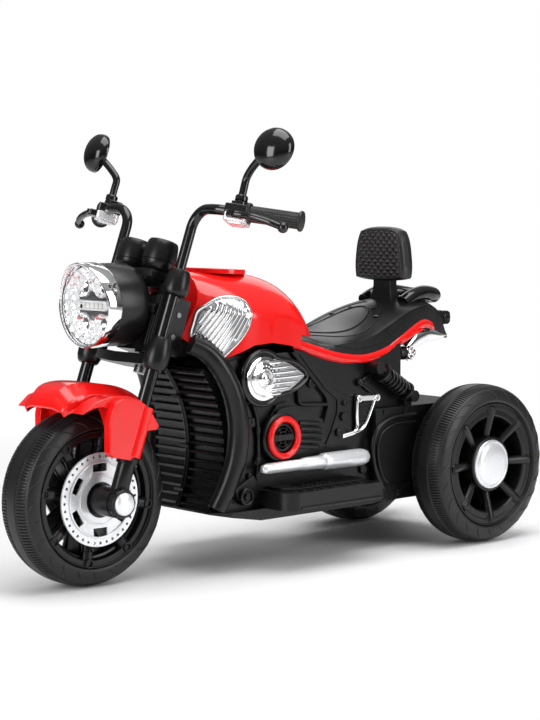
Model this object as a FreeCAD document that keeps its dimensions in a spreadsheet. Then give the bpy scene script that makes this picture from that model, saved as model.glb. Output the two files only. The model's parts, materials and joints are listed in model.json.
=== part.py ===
import FreeCAD, Part
import math
import os
import Sketcher

# A child's battery motorbike in the chopper style: one steered front wheel, two rear wheels.
# Millimetres. +Z up, the bike faces -Y, the rider's left is +X.
# The origin is on the ground, on the centre plane, half way along the bike's length.

Vector = FreeCAD.Vector

SIZES = {
    # layout
    "wheel_base": 670, "rear_track": 275, "rake_angle": 20,
    "running_fit": 0.05, "seat_gap": 0.3, "overrun": 2,
    # tyres and wheels
    "wheel_radius": 125, "tyre_width": 70, "tread_width": 29, "tread_depth": 3, "rim_radius": 102,
    "rim_seat": 4, "rim_depth": 9, "rim_inset": 2, "tread_bar": 7, "tread_bars": 40,
    "spoke_count": 8, "spoke_root": 17, "spoke_tip": 12, "spoke_depth": 22, "spoke_boss": 7,
    "boss_bore": 3.2,
    "axle_radius": 5, "hub_radius": 25, "front_hub_half": 41,
    "disc_radius": 66, "disc_thickness": 3, "disc_plane": 35.5, "disc_windows": 6,
    "window_width": 24, "window_height": 13, "window_radius": 46, "disc_holes": 36,
    "disc_hole_radius": 2, "disc_hole_circle": 61, "disc_step_radius": 36, "disc_step": 2,
    "rear_hub_radius": 30, "flange_radius": 42, "flange_thickness": 8, "cap_radius": 36,
    "cap_height": 11, "cap_wall": 2.5, "rear_hub_out": 26,
    # front fork, all along the raked axis from the front axle
    "fork_half": 74, "fork_offset": 38, "stanchion_radius": 9.5, "slider_radius": 12.5,
    "slider_socket": 30, "collar_low": 55, "collar_top": 64, "collar_radius": 15.5,
    "lug_radius": 21, "lug_inner": 41.5, "lug_outer": 80, "nut_radius": 20, "nut_width": 13,
    "nut_slots": 10, "nut_slot": 4, "nut_slot_depth": 3, "nut_cap_radius": 15.5, "nut_cap_height": 5,
    "lower_clamp_at": 208, "lower_cup_radius": 17.5, "lower_cup_height": 36,
    "upper_clamp_at": 321, "upper_cup_radius": 15.5, "upper_cup_height": 31,
    "clamp_thickness": 16, "clamp_front": 9, "clamp_back": 17,
    "stem_radius": 9, "stem_nut_radius": 10, "stem_nut_height": 8,
    "lamp_band_at": 274, "lamp_band_height": 24, "lamp_band_radius": 13.5, "lamp_bar_height": 18,
    # steering head, on the chassis
    "head_half": 51, "head_front": 14, "head_back": 16, "head_low": 224, "head_top": 306,
    "bush_radius": 13, "bush_flange": 16, "bush_flange_height": 4, "bush_length": 24,
    "neck_half": 40, "neck_height": 22, "neck_end": -110, "head_screw_radius": 4,
    "head_screw_height": 1.5,
    # handlebars in the raked frame
    "bar_radius": 7.5, "bar_rise": 106, "bar_shoulder": 118, "bar_reach": 228, "bar_pull": 62,
    "bar_lift": 6, "bar_bend": 28, "bar_sweep_bend": 40, "bar_forward": 4,
    "grip_length": 82, "grip_radius": 11.5, "grip_flange_radius": 16, "grip_flange": 6,
    "grip_rib": 1, "grip_ribs": 9, "grip_end_radius": 14,
    "pod_width": 24, "pod_depth": 30, "pod_height": 32, "pod_back": 81,
    "lever_length": 72, "lever_width": 9, "lever_height": 7, "lever_ball": 6.5, "lever_drop": 9,
    "lever_forward": 24, "lever_splay": 17, "lever_pin_radius": 3, "lever_eye": 7,
    "horn_radius": 5.5, "horn_height": 6, "horn_proud": 2.5, "horn_travel": 2,
    "mirror_radius": 31, "mirror_depth": 24, "mirror_rim": 5, "mirror_out": 40, "mirror_up": 87,
    "mirror_forward": 42, "mirror_turn": 16, "stalk_radius": 5.5, "stalk_rise": 36, "stalk_foot_radius": 8,
    "stalk_foot_height": 6,
    "gauge_half": 30, "gauge_radius": 23, "gauge_height": 45, "gauge_neck": 8, "gauge_forward": 9,
    # headlamp
    "lamp_y": -329, "lamp_z": 393, "bezel_radius": 60, "bezel_depth": 16, "lens_radius": 54,
    "lens_crown": 9, "lens_thickness": 2.5, "lamp_length": 64, "lamp_wall": 3, "lamp_tail_radius": 26,
    "lamp_stub_radius": 13, "reflector_depth": 30,
    # front mudguard, about the front axle
    "guard_half": 47, "guard_wall": 3, "guard_clear": 15, "guard_crown": 36, "guard_arm_low": 66,
    "guard_arm_top": 138, "guard_sleeve": 16.5, "guard_arm_depth": 30,
    # chassis tray and body shells
    "tray_low": 75, "tray_top": 92, "tray_half": 98, "tray_front": -166, "tray_back": 148, "tray_wall": 3,
    "tray_corner": 22, "tray_rake_back": -87,
    "body_half": 84, "body_wall": 3, "body_front_low": -146, "body_front_mid": -110,
    "body_front_top": -152, "body_front_mid_z": 204, "body_shoulder_z": 300, "body_roof": 316,
    "body_back": 216, "housing_front": 150, "housing_top": 220,
    # rear housing and drive
    "housing_half": 96, "housing_back": 398, "housing_low": 76, "housing_wall": 3,
    "housing_chamfer": 40, "arch_radius": 52, "arch_depth": 1.2, "rear_axle_radius": 6,
    "drive_sleeve_radius": 11, "drive_sleeve_in": 74,
    "gear_module": 1.5, "gear_teeth": 48, "pinion_teeth": 12, "gear_width": 9, "gear_backlash": 0.5,
    "motor_radius": 18, "motor_length": 57, "motor_shaft_radius": 2, "motor_boss": 7, "motor_foot": 26,
    # radiator and its frame tubes
    "radiator_half": 75, "radiator_depth": 31, "rib_count": 17, "rib_height": 4, "rib_depth": 5,
    "radiator_pipe_radius": 4,
    "frame_radius": 13, "frame_half": 90, "frame_top_half": 65, "frame_top_y": -200,
    "frame_top_z": 346, "frame_bend": 70, "frame_knee_z": 272, "frame_foot_half": 83,
    # tank
    "tank_front": -200, "tank_length": 250, "tank_half": 100, "tank_base": 300, "tank_height": 142,
    "tank_wall": 3, "tank_head_gap": 3, "cap_disc_radius": 44, "cap_disc_height": 4.5, "cap_disc_y": -91,
    "cap_disc_slope": 3, "cap_disc_sink": 3, "cap_rim": 6, "switch_width": 20, "switch_length": 13,
    "switch_depth": 6,
    "switch_rise": 2, "switch_gap": 0.6,
    "grille_thickness": 5, "grille_grooves": 10, "grille_slant": 45, "grille_rib": 6,
    "grille_rib_rise": 2.5,
    # seat and tail
    "seat_front": 0, "seat_length": 380, "seat_half": 88, "seat_base": 285, "seat_height": 101,
    "seat_wall": 3, "stripe_thickness": 4, "seat_split_gap": 0.4, "seat_crown": 14,
    "trim_half": 62, "tail_lamp_radius": 13, "tail_lamp_depth": 20, "tail_lens_depth": 13,
    "tail_lamp_x": 80, "tail_lamp_y": 238, "tail_lamp_z": 305,
    "rail_radius": 10.5, "rail_half": 42, "rail_front": 288, "rail_back": 356, "rail_rise": 17,
    "rail_bend": 30, "rail_z": 373,
    "bracket_front": 352, "bracket_back": 408, "bracket_z": 346, "bracket_height": 22, "bracket_half": 12,
    "bracket_bore": 4, "bracket_bore_inset": 10,
    "post_half": 20, "post_depth": 18, "post_y": 257, "post_foot": 300,
    "pad_low_half": 54, "pad_top_half": 41, "pad_low": 413, "pad_top": 494, "pad_depth": 34,
    "pad_front": 248, "pad_crown": 6, "pad_corner": 14, "quilt_pitch": 20, "quilt_cut": 1.6,
    "quilt_lines": 2, "quilt_slant": 45,
    # sides of the body
    "cleaner_y": -84, "cleaner_z": 282, "cleaner_radius": 40, "cleaner_tail": 78, "cleaner_rise": 11,
    "cleaner_disc": 31, "cleaner_cover": 8, "cleaner_rib_count": 5, "cleaner_rib": 4,
    "cleaner_cover_rise": 3,
    "ring_y": -45, "ring_z": 193, "ring_radius": 26.5, "ring_tube": 5, "barrel_radius": 36,
    "barrel_rise": 12, "barrel_end": 38, "barrel_half": 21, "fin_count": 5, "fin_cut": 3,
    "fin_depth": 5, "strut_rise": 7,
    "speaker_radius": 26, "speaker_depth": 20,
    "pipe_x": 105, "pipe_z": 151, "pipe_front": -94, "pipe_radius": 7.5, "muffler_front": 20,
    "muffler_back": 122, "muffler_radius": 12.5, "pipe_peg_radius": 6, "pipe_peg_inset": 22,
    "board_half": 152, "board_front": -80, "board_back": 108, "board_top": 118, "board_wall": 5,
    "board_corner": 26, "board_rib_count": 7, "board_rib": 5, "board_rib_rise": 1.5,
    "pedal_length": 74, "pedal_width": 26, "pedal_thickness": 7, "pedal_pin_radius": 2.5,
    "pedal_tilt": 12, "pedal_inset": 8, "pedal_ear": 3.4, "pedal_ear_rise": 5,
    "peg_y": 101, "peg_z": 239, "peg_length": 54, "peg_bar": 11, "peg_leg": 50, "peg_rise": 9,
    "peg_foot": 30,
    "shock_x": 102, "shock_top_y": 146, "shock_top_z": 284, "shock_low_y": 222, "shock_low_z": 236,
    "shock_rod": 7, "shock_cap": 15, "shock_cap_height": 5, "spring_radius": 11.5,
    "spring_wire": 2.6, "spring_turns": 6, "shock_eye": 9, "shock_eye_inset": 4,
    # inside
    "battery_length": 100, "battery_width": 70, "battery_height": 96, "battery_y": -30,
    "terminal_radius": 4, "terminal_height": 6, "terminal_spread": 28,
    # fasteners
    "screw_radius": 4, "screw_head": 2, "seat_screw_half": 50, "seat_screw_y": 195,
}

# Shares, chosen by hand, of the sizes that each form follows.
# Tank stations: along, half width, shoulder height, top height.
TANK_SHARES = [
    (0.00, 0.44, 0.66, 0.89), (0.11, 0.62, 0.62, 0.94), (0.265, 0.93, 0.55, 0.955),
    (0.45, 1.00, 0.54, 0.945), (0.64, 0.985, 0.51, 0.91), (0.78, 0.92, 0.44, 0.83),
    (0.88, 0.82, 0.34, 0.69), (0.95, 0.69, 0.22, 0.49), (1.00, 0.55, 0.12, 0.29),
]
# Lower edge of the tank seen from the side: along, height.
TANK_EDGE_SHARES = [
    (-0.02, 0.38), (0.052, 0.28), (0.16, 0.065), (0.276, 0.14), (0.392, 0.22), (0.532, 0.235),
    (0.672, 0.195), (0.792, 0.14), (0.792, 0.285), (0.956, 0.245), (1.02, 0.235),
]
# Seat and tail stations: along, half width, top height.
SEAT_SHARES = [
    (0.00, 0.95, 0.55), (0.121, 0.98, 0.435), (0.263, 1.00, 0.525), (0.392, 1.00, 0.60),
    (0.534, 0.955, 0.80), (0.645, 0.875, 0.94), (0.763, 0.75, 1.00), (0.855, 0.62, 0.95),
    (0.934, 0.48, 0.74), (1.00, 0.34, 0.49),
]
# Underside of the seat and tail seen from the side: along, height.
SEAT_LOW_SHARES = [
    (0.00, 0.355), (0.116, 0.20), (0.247, 0.09), (0.382, 0.09), (0.474, 0.19), (0.535, 0.315),
    (0.637, 0.445), (0.716, 0.525), (0.80, 0.43), (0.90, 0.33), (1.00, 0.29),
]
# Top edge of the coloured stripe, and the joint line under the saddle.
STRIPE_TOP_SHARES = [
    (0.00, 0.465), (0.116, 0.345), (0.273, 0.22), (0.40, 0.255), (0.535, 0.445), (0.612, 0.565),
    (0.716, 0.67), (0.80, 0.545),
]
SADDLE_SHARES = [
    (0.153, 0.385), (0.316, 0.275), (0.455, 0.345), (0.562, 0.57), (0.684, 0.76), (0.80, 0.82),
    (0.865, 0.86),
]
# Chrome trim under the tail, lower edge: along the seat, height.
TRIM_SHARES = [(0.845, 0.33), (0.797, 0.255), (0.71, 0.215), (0.655, 0.165), (0.603, 0.24)]
# Frame strut on the body side, as shares of the body height and length.
STRUT_SHARES = [
    (0.345, 1.00), (0.42, 1.00), (0.64, 0.70), (0.66, 0.62), (0.60, 0.36), (0.49, 0.36),
    (0.55, 0.62), (0.54, 0.68),
]
# Front grille on the tank side: along the tank, height.
GRILLE_SHARES = [
    (0.032, 0.42), (0.096, 0.64), (0.202, 0.70), (0.298, 0.66), (0.356, 0.56), (0.367, 0.45),
    (0.33, 0.32), (0.266, 0.20), (0.165, 0.115),
]
# Mudguard sections: angle up from the rear, then shares: crown, edge, half width.
GUARD_SHARES = [
    (44, 0.29, 0.39, 0.80), (62, 0.86, 0.10, 0.96), (84, 0.98, 0.16, 1.00), (98, 1.20, 0.20, 1.00),
    (108, 1.34, 0.28, 1.00), (118, 0.50, 0.33, 0.94),
]

# Screws on the steering head, up its height.
HEAD_SCREW_SHARES = [0.30, 0.70]
# Bow of the back pad's edges: the long sides, then the corners.
PAD_BOW_SHARES = [0.10, 0.29]

doc = FreeCAD.newDocument("ChopperMotorbike")
sheet = doc.addObject("Spreadsheet::Sheet", "Sizes")


class Size(float):
    """A size that remembers the formula, in the sheet's names, that it came from."""

    def __new__(cls, value, text):
        made = super().__new__(cls, value)
        made.text = text
        return made

    def joined(self, sign, first, second, value):
        return Size(value, f"({formula(first)} {sign} {formula(second)})")

    def __add__(self, other):
        return self.joined("+", self, other, float(self) + float(other))

    def __radd__(self, other):
        return self.joined("+", other, self, float(other) + float(self))

    def __sub__(self, other):
        return self.joined("-", self, other, float(self) - float(other))

    def __rsub__(self, other):
        return self.joined("-", other, self, float(other) - float(self))

    def __mul__(self, other):
        return self.joined("*", self, other, float(self) * float(other))

    __rmul__ = __mul__

    def __truediv__(self, other):
        return self.joined("/", self, other, float(self) / float(other))

    def __neg__(self):
        return Size(-float(self), f"(0 - {self.text})")


def formula(value):
    return value.text if isinstance(value, Size) else repr(float(value))


class Named:
    """Gives each named size of the sheet as an attribute."""

    def __getattr__(self, name):
        return Size(float(sheet.get(name)), "Sizes." + name)


def fill_sheet():
    for row, (name, value) in enumerate(SIZES.items(), start=1):
        sheet.set(f"A{row}", name)
        sheet.set(f"B{row}", str(value))
        sheet.setAlias(f"B{row}", name)
    doc.recompute()


fill_sheet()
s = Named()
nodes = {}

# Places that many pieces share.
front_y = -(s.wheel_base / 2)
rear_y = s.wheel_base / 2
axle_z = s.wheel_radius


# Drawing helpers

def bind(thing, name, value):
    if isinstance(value, Size):
        thing.setExpression(name, value.text)
    else:
        setattr(thing, name, value)


def place(thing, x=0, y=0, z=0, axis=(1, 0, 0), angle=0):
    turn = f"rotation(vector({axis[0]}; {axis[1]}; {axis[2]}); {formula(angle)})"
    spot = f"vector({formula(x)}; {formula(y)}; {formula(z)})"
    thing.setExpression("Placement", f"placement({spot}; {turn})")
    return thing


def keep(thing, node):
    """Registers a finished object as a sub-part of the bike."""
    thing.Label = node
    nodes[node] = thing
    return thing


def raked(thing, node):
    """Stands a piece drawn along the fork on the front axle at the fork's rake."""
    place(thing, 0, front_y, axle_z, (1, 0, 0), -s.rake_angle)
    return keep(thing, node)


def raked_placement():
    turn = FreeCAD.Rotation(Vector(1, 0, 0), -s.rake_angle)
    return FreeCAD.Placement(Vector(0, front_y, axle_z), turn)


def block(name, x0, x1, y0, y1, z0, z1):
    made = doc.addObject("Part::Box", name)
    bind(made, "Length", x1 - x0)
    bind(made, "Width", y1 - y0)
    bind(made, "Height", z1 - z0)
    return place(made, x0, y0, z0)


def rod(name, radius, start, end, axis, first, second):
    """A cylinder along an axis; first and second are its other two coordinates, in order."""
    made = doc.addObject("Part::Cylinder", name)
    bind(made, "Radius", radius)
    bind(made, "Height", end - start)
    if axis == "x":
        return place(made, start, first, second, (0, 1, 0), 90)
    if axis == "y":
        return place(made, first, start, second, (1, 0, 0), -90)
    return place(made, first, second, start)


def fused(name, *pieces):
    made = doc.addObject("Part::MultiFuse", name)
    made.Shapes = list(pieces)
    return made


def cut(name, base, tool):
    made = doc.addObject("Part::Cut", name)
    made.Base = base
    made.Tool = tool
    return made


def mirrored(piece):
    made = doc.addObject("Part::Mirroring", piece.Name + "Mirrored")
    made.Source = piece
    made.Normal = Vector(1, 0, 0)
    return made


def group(name, *pieces):
    made = doc.addObject("Part::Compound", name)
    made.Links = list(pieces)
    return made


def pair(name, piece):
    """A left piece and its mirrored twin on the right, in one group."""
    return group(name, piece, mirrored(piece))


def solid(name, shape):
    made = doc.addObject("Part::Feature", name)
    made.Shape = shape
    return made


def body_named(name):
    return doc.addObject("PartDesign::Body", name)


def origin_of(body, role):
    return [part for part in body.Origin.OriginFeatures if part.Role == role][0]


def fix_point(drawn, index, corner, value, kind):
    """Ties one coordinate of a sketched point to the sheet, or to an axis where it is zero."""
    if float(value) == 0:
        axis = -2 if kind == "DistanceX" else -1
        drawn.addConstraint(Sketcher.Constraint("PointOnObject", index, corner, axis))
        return
    tie = drawn.addConstraint(Sketcher.Constraint(kind, -1, 1, index, corner, float(value)))
    if isinstance(value, Size):
        drawn.setExpression(f"Constraints[{tie}]", value.text)


def draw_outline(drawn, points):
    """Lines through the points; a point with four values is the end of an arc through a middle one."""
    first = drawn.GeometryCount
    count = len(points)
    ends = []
    for number in range(count):
        start = Vector(points[number][0], points[number][1], 0)
        step = points[(number + 1) % count]
        end = Vector(step[0], step[1], 0)
        if len(step) == 2:
            drawn.addGeometry(Part.LineSegment(start, end), False)
            ends.append((1, 2))
            continue
        middle = Vector(step[2], step[3], 0)
        leftward = (middle - start).cross(end - start).z > 0
        drawn.addGeometry(Part.Arc(start, middle, end) if leftward else Part.Arc(end, middle, start), False)
        ends.append((1, 2) if leftward else (2, 1))
    for number in range(count):
        after = (number + 1) % count
        tie = ("Coincident", first + number, ends[number][1], first + after, ends[after][0])
        drawn.addConstraint(Sketcher.Constraint(*tie))
    for number in range(count):
        fix_point(drawn, first + number, ends[number][0], points[number][0], "DistanceX")
        fix_point(drawn, first + number, ends[number][0], points[number][1], "DistanceY")
        if len(points[(number + 1) % count]) == 4:
            radius = drawn.Geometry[first + number].Radius
            drawn.addConstraint(Sketcher.Constraint("Radius", first + number, radius))


def draw_circle(drawn, across, up, radius):
    shape = Part.Circle(Vector(across, up, 0), Vector(0, 0, 1), float(radius))
    index = drawn.addGeometry(shape, False)
    tie = drawn.addConstraint(Sketcher.Constraint("Radius", index, float(radius)))
    if isinstance(radius, Size):
        drawn.setExpression(f"Constraints[{tie}]", radius.text)
    fix_point(drawn, index, 3, across, "DistanceX")
    fix_point(drawn, index, 3, up, "DistanceY")


def sketch(body, plane, outlines=(), circles=(), offset=0):
    drawn = body.newObject("Sketcher::SketchObject", body.Name + "Sketch")
    drawn.AttachmentSupport = [(origin_of(body, plane), "")]
    drawn.MapMode = "FlatFace"
    if float(offset) != 0:
        bind_to = formula(offset)
        drawn.setExpression("AttachmentOffset.Base.z", bind_to)
    for points in outlines:
        draw_outline(drawn, points)
    for across, up, radius in circles:
        draw_circle(drawn, across, up, radius)
    doc.recompute()
    return drawn


def pad(body, drawn, length, both=False, back=False):
    made = body.newObject("PartDesign::Pad", body.Name + "Pad")
    made.Profile = drawn
    bind(made, "Length", length)
    if both:
        made.SideType = "Symmetric"
    made.Reversed = back
    doc.recompute()
    return made


def pocket(body, drawn, length=None, both=False, back=False):
    before = body.Shape.Volume
    made = body.newObject("PartDesign::Pocket", body.Name + "Pocket")
    made.Profile = drawn
    if length is None:
        made.Type = "ThroughAll"
    else:
        bind(made, "Length", length)
    if both:
        made.SideType = "Symmetric"
    made.Reversed = back
    doc.recompute()
    if body.Shape.Volume >= before:
        raise RuntimeError(f"a pocket of {body.Label} cuts nothing")
    return made


def revolve(body, drawn, axis="H_Axis"):
    made = body.newObject("PartDesign::Revolution", body.Name + "Revolution")
    made.Profile = drawn
    made.ReferenceAxis = (drawn, [axis])
    made.Angle = 360
    doc.recompute()
    return made


def around(body, feature, count, axis="X_Axis"):
    made = body.newObject("PartDesign::PolarPattern", body.Name + "Pattern")
    made.Originals = [feature]
    made.Axis = (origin_of(body, axis), [""])
    made.Angle = 360
    bind(made, "Occurrences", count)
    body.Tip = made
    doc.recompute()
    return made


def turned(name, profile, axis="H_Axis", plane="XY_Plane"):
    """A body turned from one closed profile about the sketch's own axis."""
    body = body_named(name)
    revolve(body, sketch(body, plane, [profile]), axis)
    return body


def rounded_path(corners, bends):
    """Straight runs between the corners, joined by tangent arcs of the given radii."""
    edges = []
    last = corners[0]
    for number, bend in enumerate(bends, start=1):
        corner = corners[number]
        into = (corner - corners[number - 1]).normalize()
        out = (corners[number + 1] - corner).normalize()
        half = into.getAngle(out) / 2
        reach = float(bend) * math.tan(half)
        begin = corner - into * reach
        finish = corner + out * reach
        inward = (out - into).normalize()
        middle = corner + inward * (float(bend) / math.cos(half) - float(bend))
        edges.append(Part.LineSegment(last, begin).toShape())
        edges.append(Part.Arc(begin, middle, finish).toShape())
        last = finish
    edges.append(Part.LineSegment(last, corners[-1]).toShape())
    return Part.Wire(edges)


def tube(path, radius):
    start = path.Edges[0].Vertexes[0].Point
    heading = path.Edges[0].tangentAt(path.Edges[0].FirstParameter)
    ring = Part.Wire([Part.Circle(start, heading, float(radius)).toShape()])
    return path.makePipeShell([ring], True, False)


def polygon_slab(points, half):
    """A side-view outline of (y, z) points, extended across the bike to both sides."""
    corners = [Vector(-half, y, z) for y, z in points]
    face = Part.Face(Part.makePolygon(corners + corners[:1]))
    return face.extrude(Vector(2 * half, 0, 0))


# Wheels

def tyre(name):
    """A tyre with a flat ribbed tread and sidewalls that swell out to the rim."""
    half = s.tyre_width / 2
    tread = s.tread_width / 2
    low = s.rim_radius - s.rim_seat
    base = s.wheel_radius - s.tread_depth
    belly = half - (half - tread) / 4
    belly_up = (s.rim_radius + base) / 2
    profile = [
        (-(half - s.rim_seat), low), (half - s.rim_seat, low), (half, s.rim_radius),
        (tread, base, belly, belly_up), (tread, s.wheel_radius), (-tread, s.wheel_radius),
        (-tread, base), (-half, s.rim_radius, -belly, belly_up),
    ]
    body = turned(name, profile)
    groove = sketch(body, "XZ_Plane", [[
        (tread + s.overrun, base), (tread + s.overrun, s.wheel_radius + s.overrun),
        (tread / 2, s.wheel_radius + s.overrun), (tread / 2, base),
    ], [
        (-tread - s.overrun, base), (-tread - s.overrun, s.wheel_radius + s.overrun),
        (-(tread / 2), s.wheel_radius + s.overrun), (-(tread / 2), base),
    ]])
    around(body, pocket(body, groove, s.tread_bar, both=True), s.tread_bars)
    return body


def rim(name, hub, out, inner, bore):
    """A moulded rim: ring, eight spokes with drilled bosses, and a hub round the axle."""
    body = body_named(name)
    outer = s.rim_radius - s.rim_seat - s.running_fit
    inside = outer - s.rim_depth
    half = s.tyre_width / 2 - s.rim_inset
    slope = half - s.rim_seat
    revolve(body, sketch(body, "XY_Plane", [[
        (-slope, inside), (slope, inside), (slope, outer), (-slope, outer),
    ]]))
    spoke = sketch(body, "YZ_Plane", [[
        (-(s.spoke_root / 2), hub - s.overrun), (s.spoke_root / 2, hub - s.overrun),
        (s.spoke_tip / 2, inside + s.overrun), (-(s.spoke_tip / 2), inside + s.overrun),
    ]])
    around(body, pad(body, spoke, s.spoke_depth, both=True), s.spoke_count)
    boss = sketch(body, "YZ_Plane", circles=[(0, outer - s.spoke_boss, s.spoke_boss)])
    around(body, pad(body, boss, slope * 2, both=True), s.spoke_count)
    hole = sketch(body, "YZ_Plane", circles=[(0, outer - s.spoke_boss, s.boss_bore)])
    around(body, pocket(body, hole, both=True), s.spoke_count)
    revolve(body, sketch(body, "XY_Plane", [[
        (-inner, bore), (out, bore), (out, hub), (-inner, hub),
    ]]))
    return body


def front_wheel():
    wheel = tyre("FrontTyre")
    place(wheel, 0, front_y, axle_z)
    keep(wheel, "front_tyre")
    bore = s.axle_radius + s.running_fit
    made = rim("FrontRim", s.hub_radius, s.front_hub_half, s.front_hub_half, bore)
    place(made, 0, front_y, axle_z)
    keep(made, "front_rim")


def brake_discs():
    """A drilled disc with windows on each side of the front wheel, round the hub."""
    body = body_named("BrakeDisc")
    ring = [(0, 0, s.disc_radius), (0, 0, s.hub_radius + s.running_fit)]
    pad(body, sketch(body, "YZ_Plane", circles=ring, offset=s.disc_plane), s.disc_thickness)
    half = s.window_width / 2
    low = s.window_radius - s.window_height / 2
    high = s.window_radius + s.window_height / 2
    window = sketch(body, "YZ_Plane", [[
        (-half, low), (half, low), (half, high), (-half, high),
    ]], offset=s.disc_plane)
    around(body, pocket(body, window, both=True), s.disc_windows)
    hole = [(0, s.disc_hole_circle, s.disc_hole_radius)]
    drilled = sketch(body, "YZ_Plane", circles=hole, offset=s.disc_plane)
    around(body, pocket(body, drilled, both=True), s.disc_holes)
    step = [(0, 0, s.disc_step_radius), (0, 0, s.hub_radius + s.running_fit)]
    face = s.disc_plane + s.disc_thickness
    pad(body, sketch(body, "YZ_Plane", circles=step, offset=face), s.disc_step)
    discs = pair("BrakeDiscs", body)
    place(discs, 0, front_y, axle_z)
    keep(discs, "brake_discs")


def rear_wheels():
    """Left and right rear wheels; the right one carries the drive sleeve."""
    bore = s.rear_axle_radius + s.running_fit
    track = s.rear_track / 2
    inner = s.tyre_width / 2
    for side, sign in (("left", 1), ("right", -1)):
        wheel = tyre("Rear" + side.title() + "Tyre")
        place(wheel, track * sign, rear_y, axle_z)
        keep(wheel, "rear_tyre_" + side)
        made = rim("Rear" + side.title() + "Rim", s.rear_hub_radius, s.rear_hub_out, inner, bore)
        face = s.rear_hub_out - s.flange_thickness
        revolve(made, sketch(made, "XY_Plane", [[
            (face, bore), (s.rear_hub_out, bore), (s.rear_hub_out, s.flange_radius),
            (face, s.flange_radius),
        ]]))
        if side == "right":
            reach = track - s.drive_sleeve_in
            revolve(made, sketch(made, "XY_Plane", [[
                (-reach, bore), (-inner + s.overrun, bore), (-inner + s.overrun, s.drive_sleeve_radius),
                (-reach, s.drive_sleeve_radius),
            ]]))
        cap = hub_cap("Rear" + side.title() + "Cap")
        whole = group("Rear" + side.title() + "Wheel", made, cap)
        turn = 0 if side == "left" else 180
        place(whole, track * sign, rear_y, axle_z, (0, 0, 1), turn)
        keep(whole, "rear_rim_" + side)


def dome_rise(radius, height, share):
    """Rise of a shallow dome over its rim, at a share of its radius from the middle."""
    ball = (radius * radius + height * height) / (2 * height)
    return math.sqrt(ball * ball - (radius * share) ** 2) - ball + height


def hub_cap(name):
    """A domed plated cap over the end of the axle."""
    face = s.rear_hub_out
    top = face + s.cap_height
    edge = s.cap_radius - s.cap_wall
    deep = s.cap_height - s.cap_wall
    middle_share = 0.5
    outer = face + dome_rise(float(s.cap_radius), float(s.cap_height), middle_share)
    inner = face + dome_rise(float(edge), float(deep), middle_share)
    return turned(name, [
        (face, edge, inner, edge * middle_share), (face, s.cap_radius),
        (top, 0, outer, s.cap_radius * middle_share), (face + deep, 0),
    ])


# Front fork and steering

def fork_sliders():
    """Lower fork legs with a lug round the axle, a collar and a socket for the tube."""
    lug = rod("SliderLug", s.lug_radius, s.lug_inner, s.lug_outer, "x", 0, 0)
    leg = rod("SliderLeg", s.slider_radius, 0, s.collar_low, "z", s.fork_half, 0)
    collar = rod("SliderCollar", s.collar_radius, s.collar_low, s.collar_top, "z", s.fork_half, 0)
    whole = fused("SliderSolid", lug, leg, collar)
    bore = s.axle_radius + s.running_fit
    axle = rod("SliderBore", bore, s.lug_inner - s.overrun, s.lug_outer + s.overrun, "x", 0, 0)
    socket = s.stanchion_radius + s.running_fit
    top = s.collar_top + s.overrun
    hole = rod("SliderSocket", socket, s.slider_socket, top, "z", s.fork_half, 0)
    far = s.lug_outer + s.nut_width
    room = rod("SliderNutRoom", s.nut_radius + s.seat_gap, s.lug_outer, far, "x", 0, 0)
    tools = fused("SliderTools", axle, hole, room)
    raked(pair("ForkSliders", cut("Slider", whole, tools)), "fork_sliders")


def fork_tubes():
    """Upper fork tubes from the slider sockets to the middle of the upper clamp."""
    top = s.upper_clamp_at
    left = rod("ForkTube", s.stanchion_radius, s.slider_socket + s.seat_gap, top, "z", s.fork_half, 0)
    raked(pair("ForkTubes", left), "fork_tubes")


def clamp(name, middle, cup_radius, cup_height):
    """One triple clamp: two cups on the fork tubes, a bridge and a bored boss for the stem."""
    low = middle - s.clamp_thickness / 2
    high = middle + s.clamp_thickness / 2
    back = s.fork_offset + s.clamp_back
    waist = s.head_half * 2 / 3
    bridge = block(name + "Bridge", -s.fork_half, s.fork_half, -s.clamp_front, s.clamp_front, low, high)
    web = block(name + "Web", -waist, waist, s.clamp_front - s.overrun, s.fork_offset, low, high)
    boss = rod(name + "Boss", s.clamp_back, low, high, "z", 0, s.fork_offset)
    cups = []
    bores = []
    for sign in (-1, 1):
        side = s.fork_half * sign
        cup_low = middle - cup_height / 2
        cup_top = middle + cup_height / 2
        cups.append(rod(f"{name}Cup{sign + 1}", cup_radius, cup_low, cup_top, "z", side, 0))
        hole = s.stanchion_radius + s.running_fit
        start, end = cup_low - s.overrun, cup_top + s.overrun
        bores.append(rod(f"{name}Bore{sign + 1}", hole, start, end, "z", side, 0))
    stem = s.stem_radius + s.running_fit
    bores.append(rod(name + "StemBore", stem, low - s.overrun, high + s.overrun, "z", 0, s.fork_offset))
    return cut(name, fused(name + "Solid", bridge, web, boss, *cups), fused(name + "Bores", *bores))


def lamp_band():
    """The bracket on the two fork tubes that carries the headlamp."""
    low = s.lamp_band_at - s.lamp_band_height / 2
    high = s.lamp_band_at + s.lamp_band_height / 2
    front = -s.stanchion_radius - s.clamp_front
    bar_low = s.lamp_band_at - s.lamp_bar_height / 2
    bar_high = s.lamp_band_at + s.lamp_bar_height / 2
    bar = block("LampBar", -s.fork_half, s.fork_half, front, -s.stanchion_radius, bar_low, bar_high)
    rings = []
    bores = []
    for sign in (-1, 1):
        side = s.fork_half * sign
        rings.append(rod(f"LampRing{sign + 1}", s.lamp_band_radius, low, high, "z", side, 0))
        hole = s.stanchion_radius + s.running_fit
        bores.append(rod(f"LampBore{sign + 1}", hole, low - s.overrun, high + s.overrun, "z", side, 0))
    return cut("LampBand", fused("LampBandSolid", bar, *rings), fused("LampBandBores", *bores))


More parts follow.
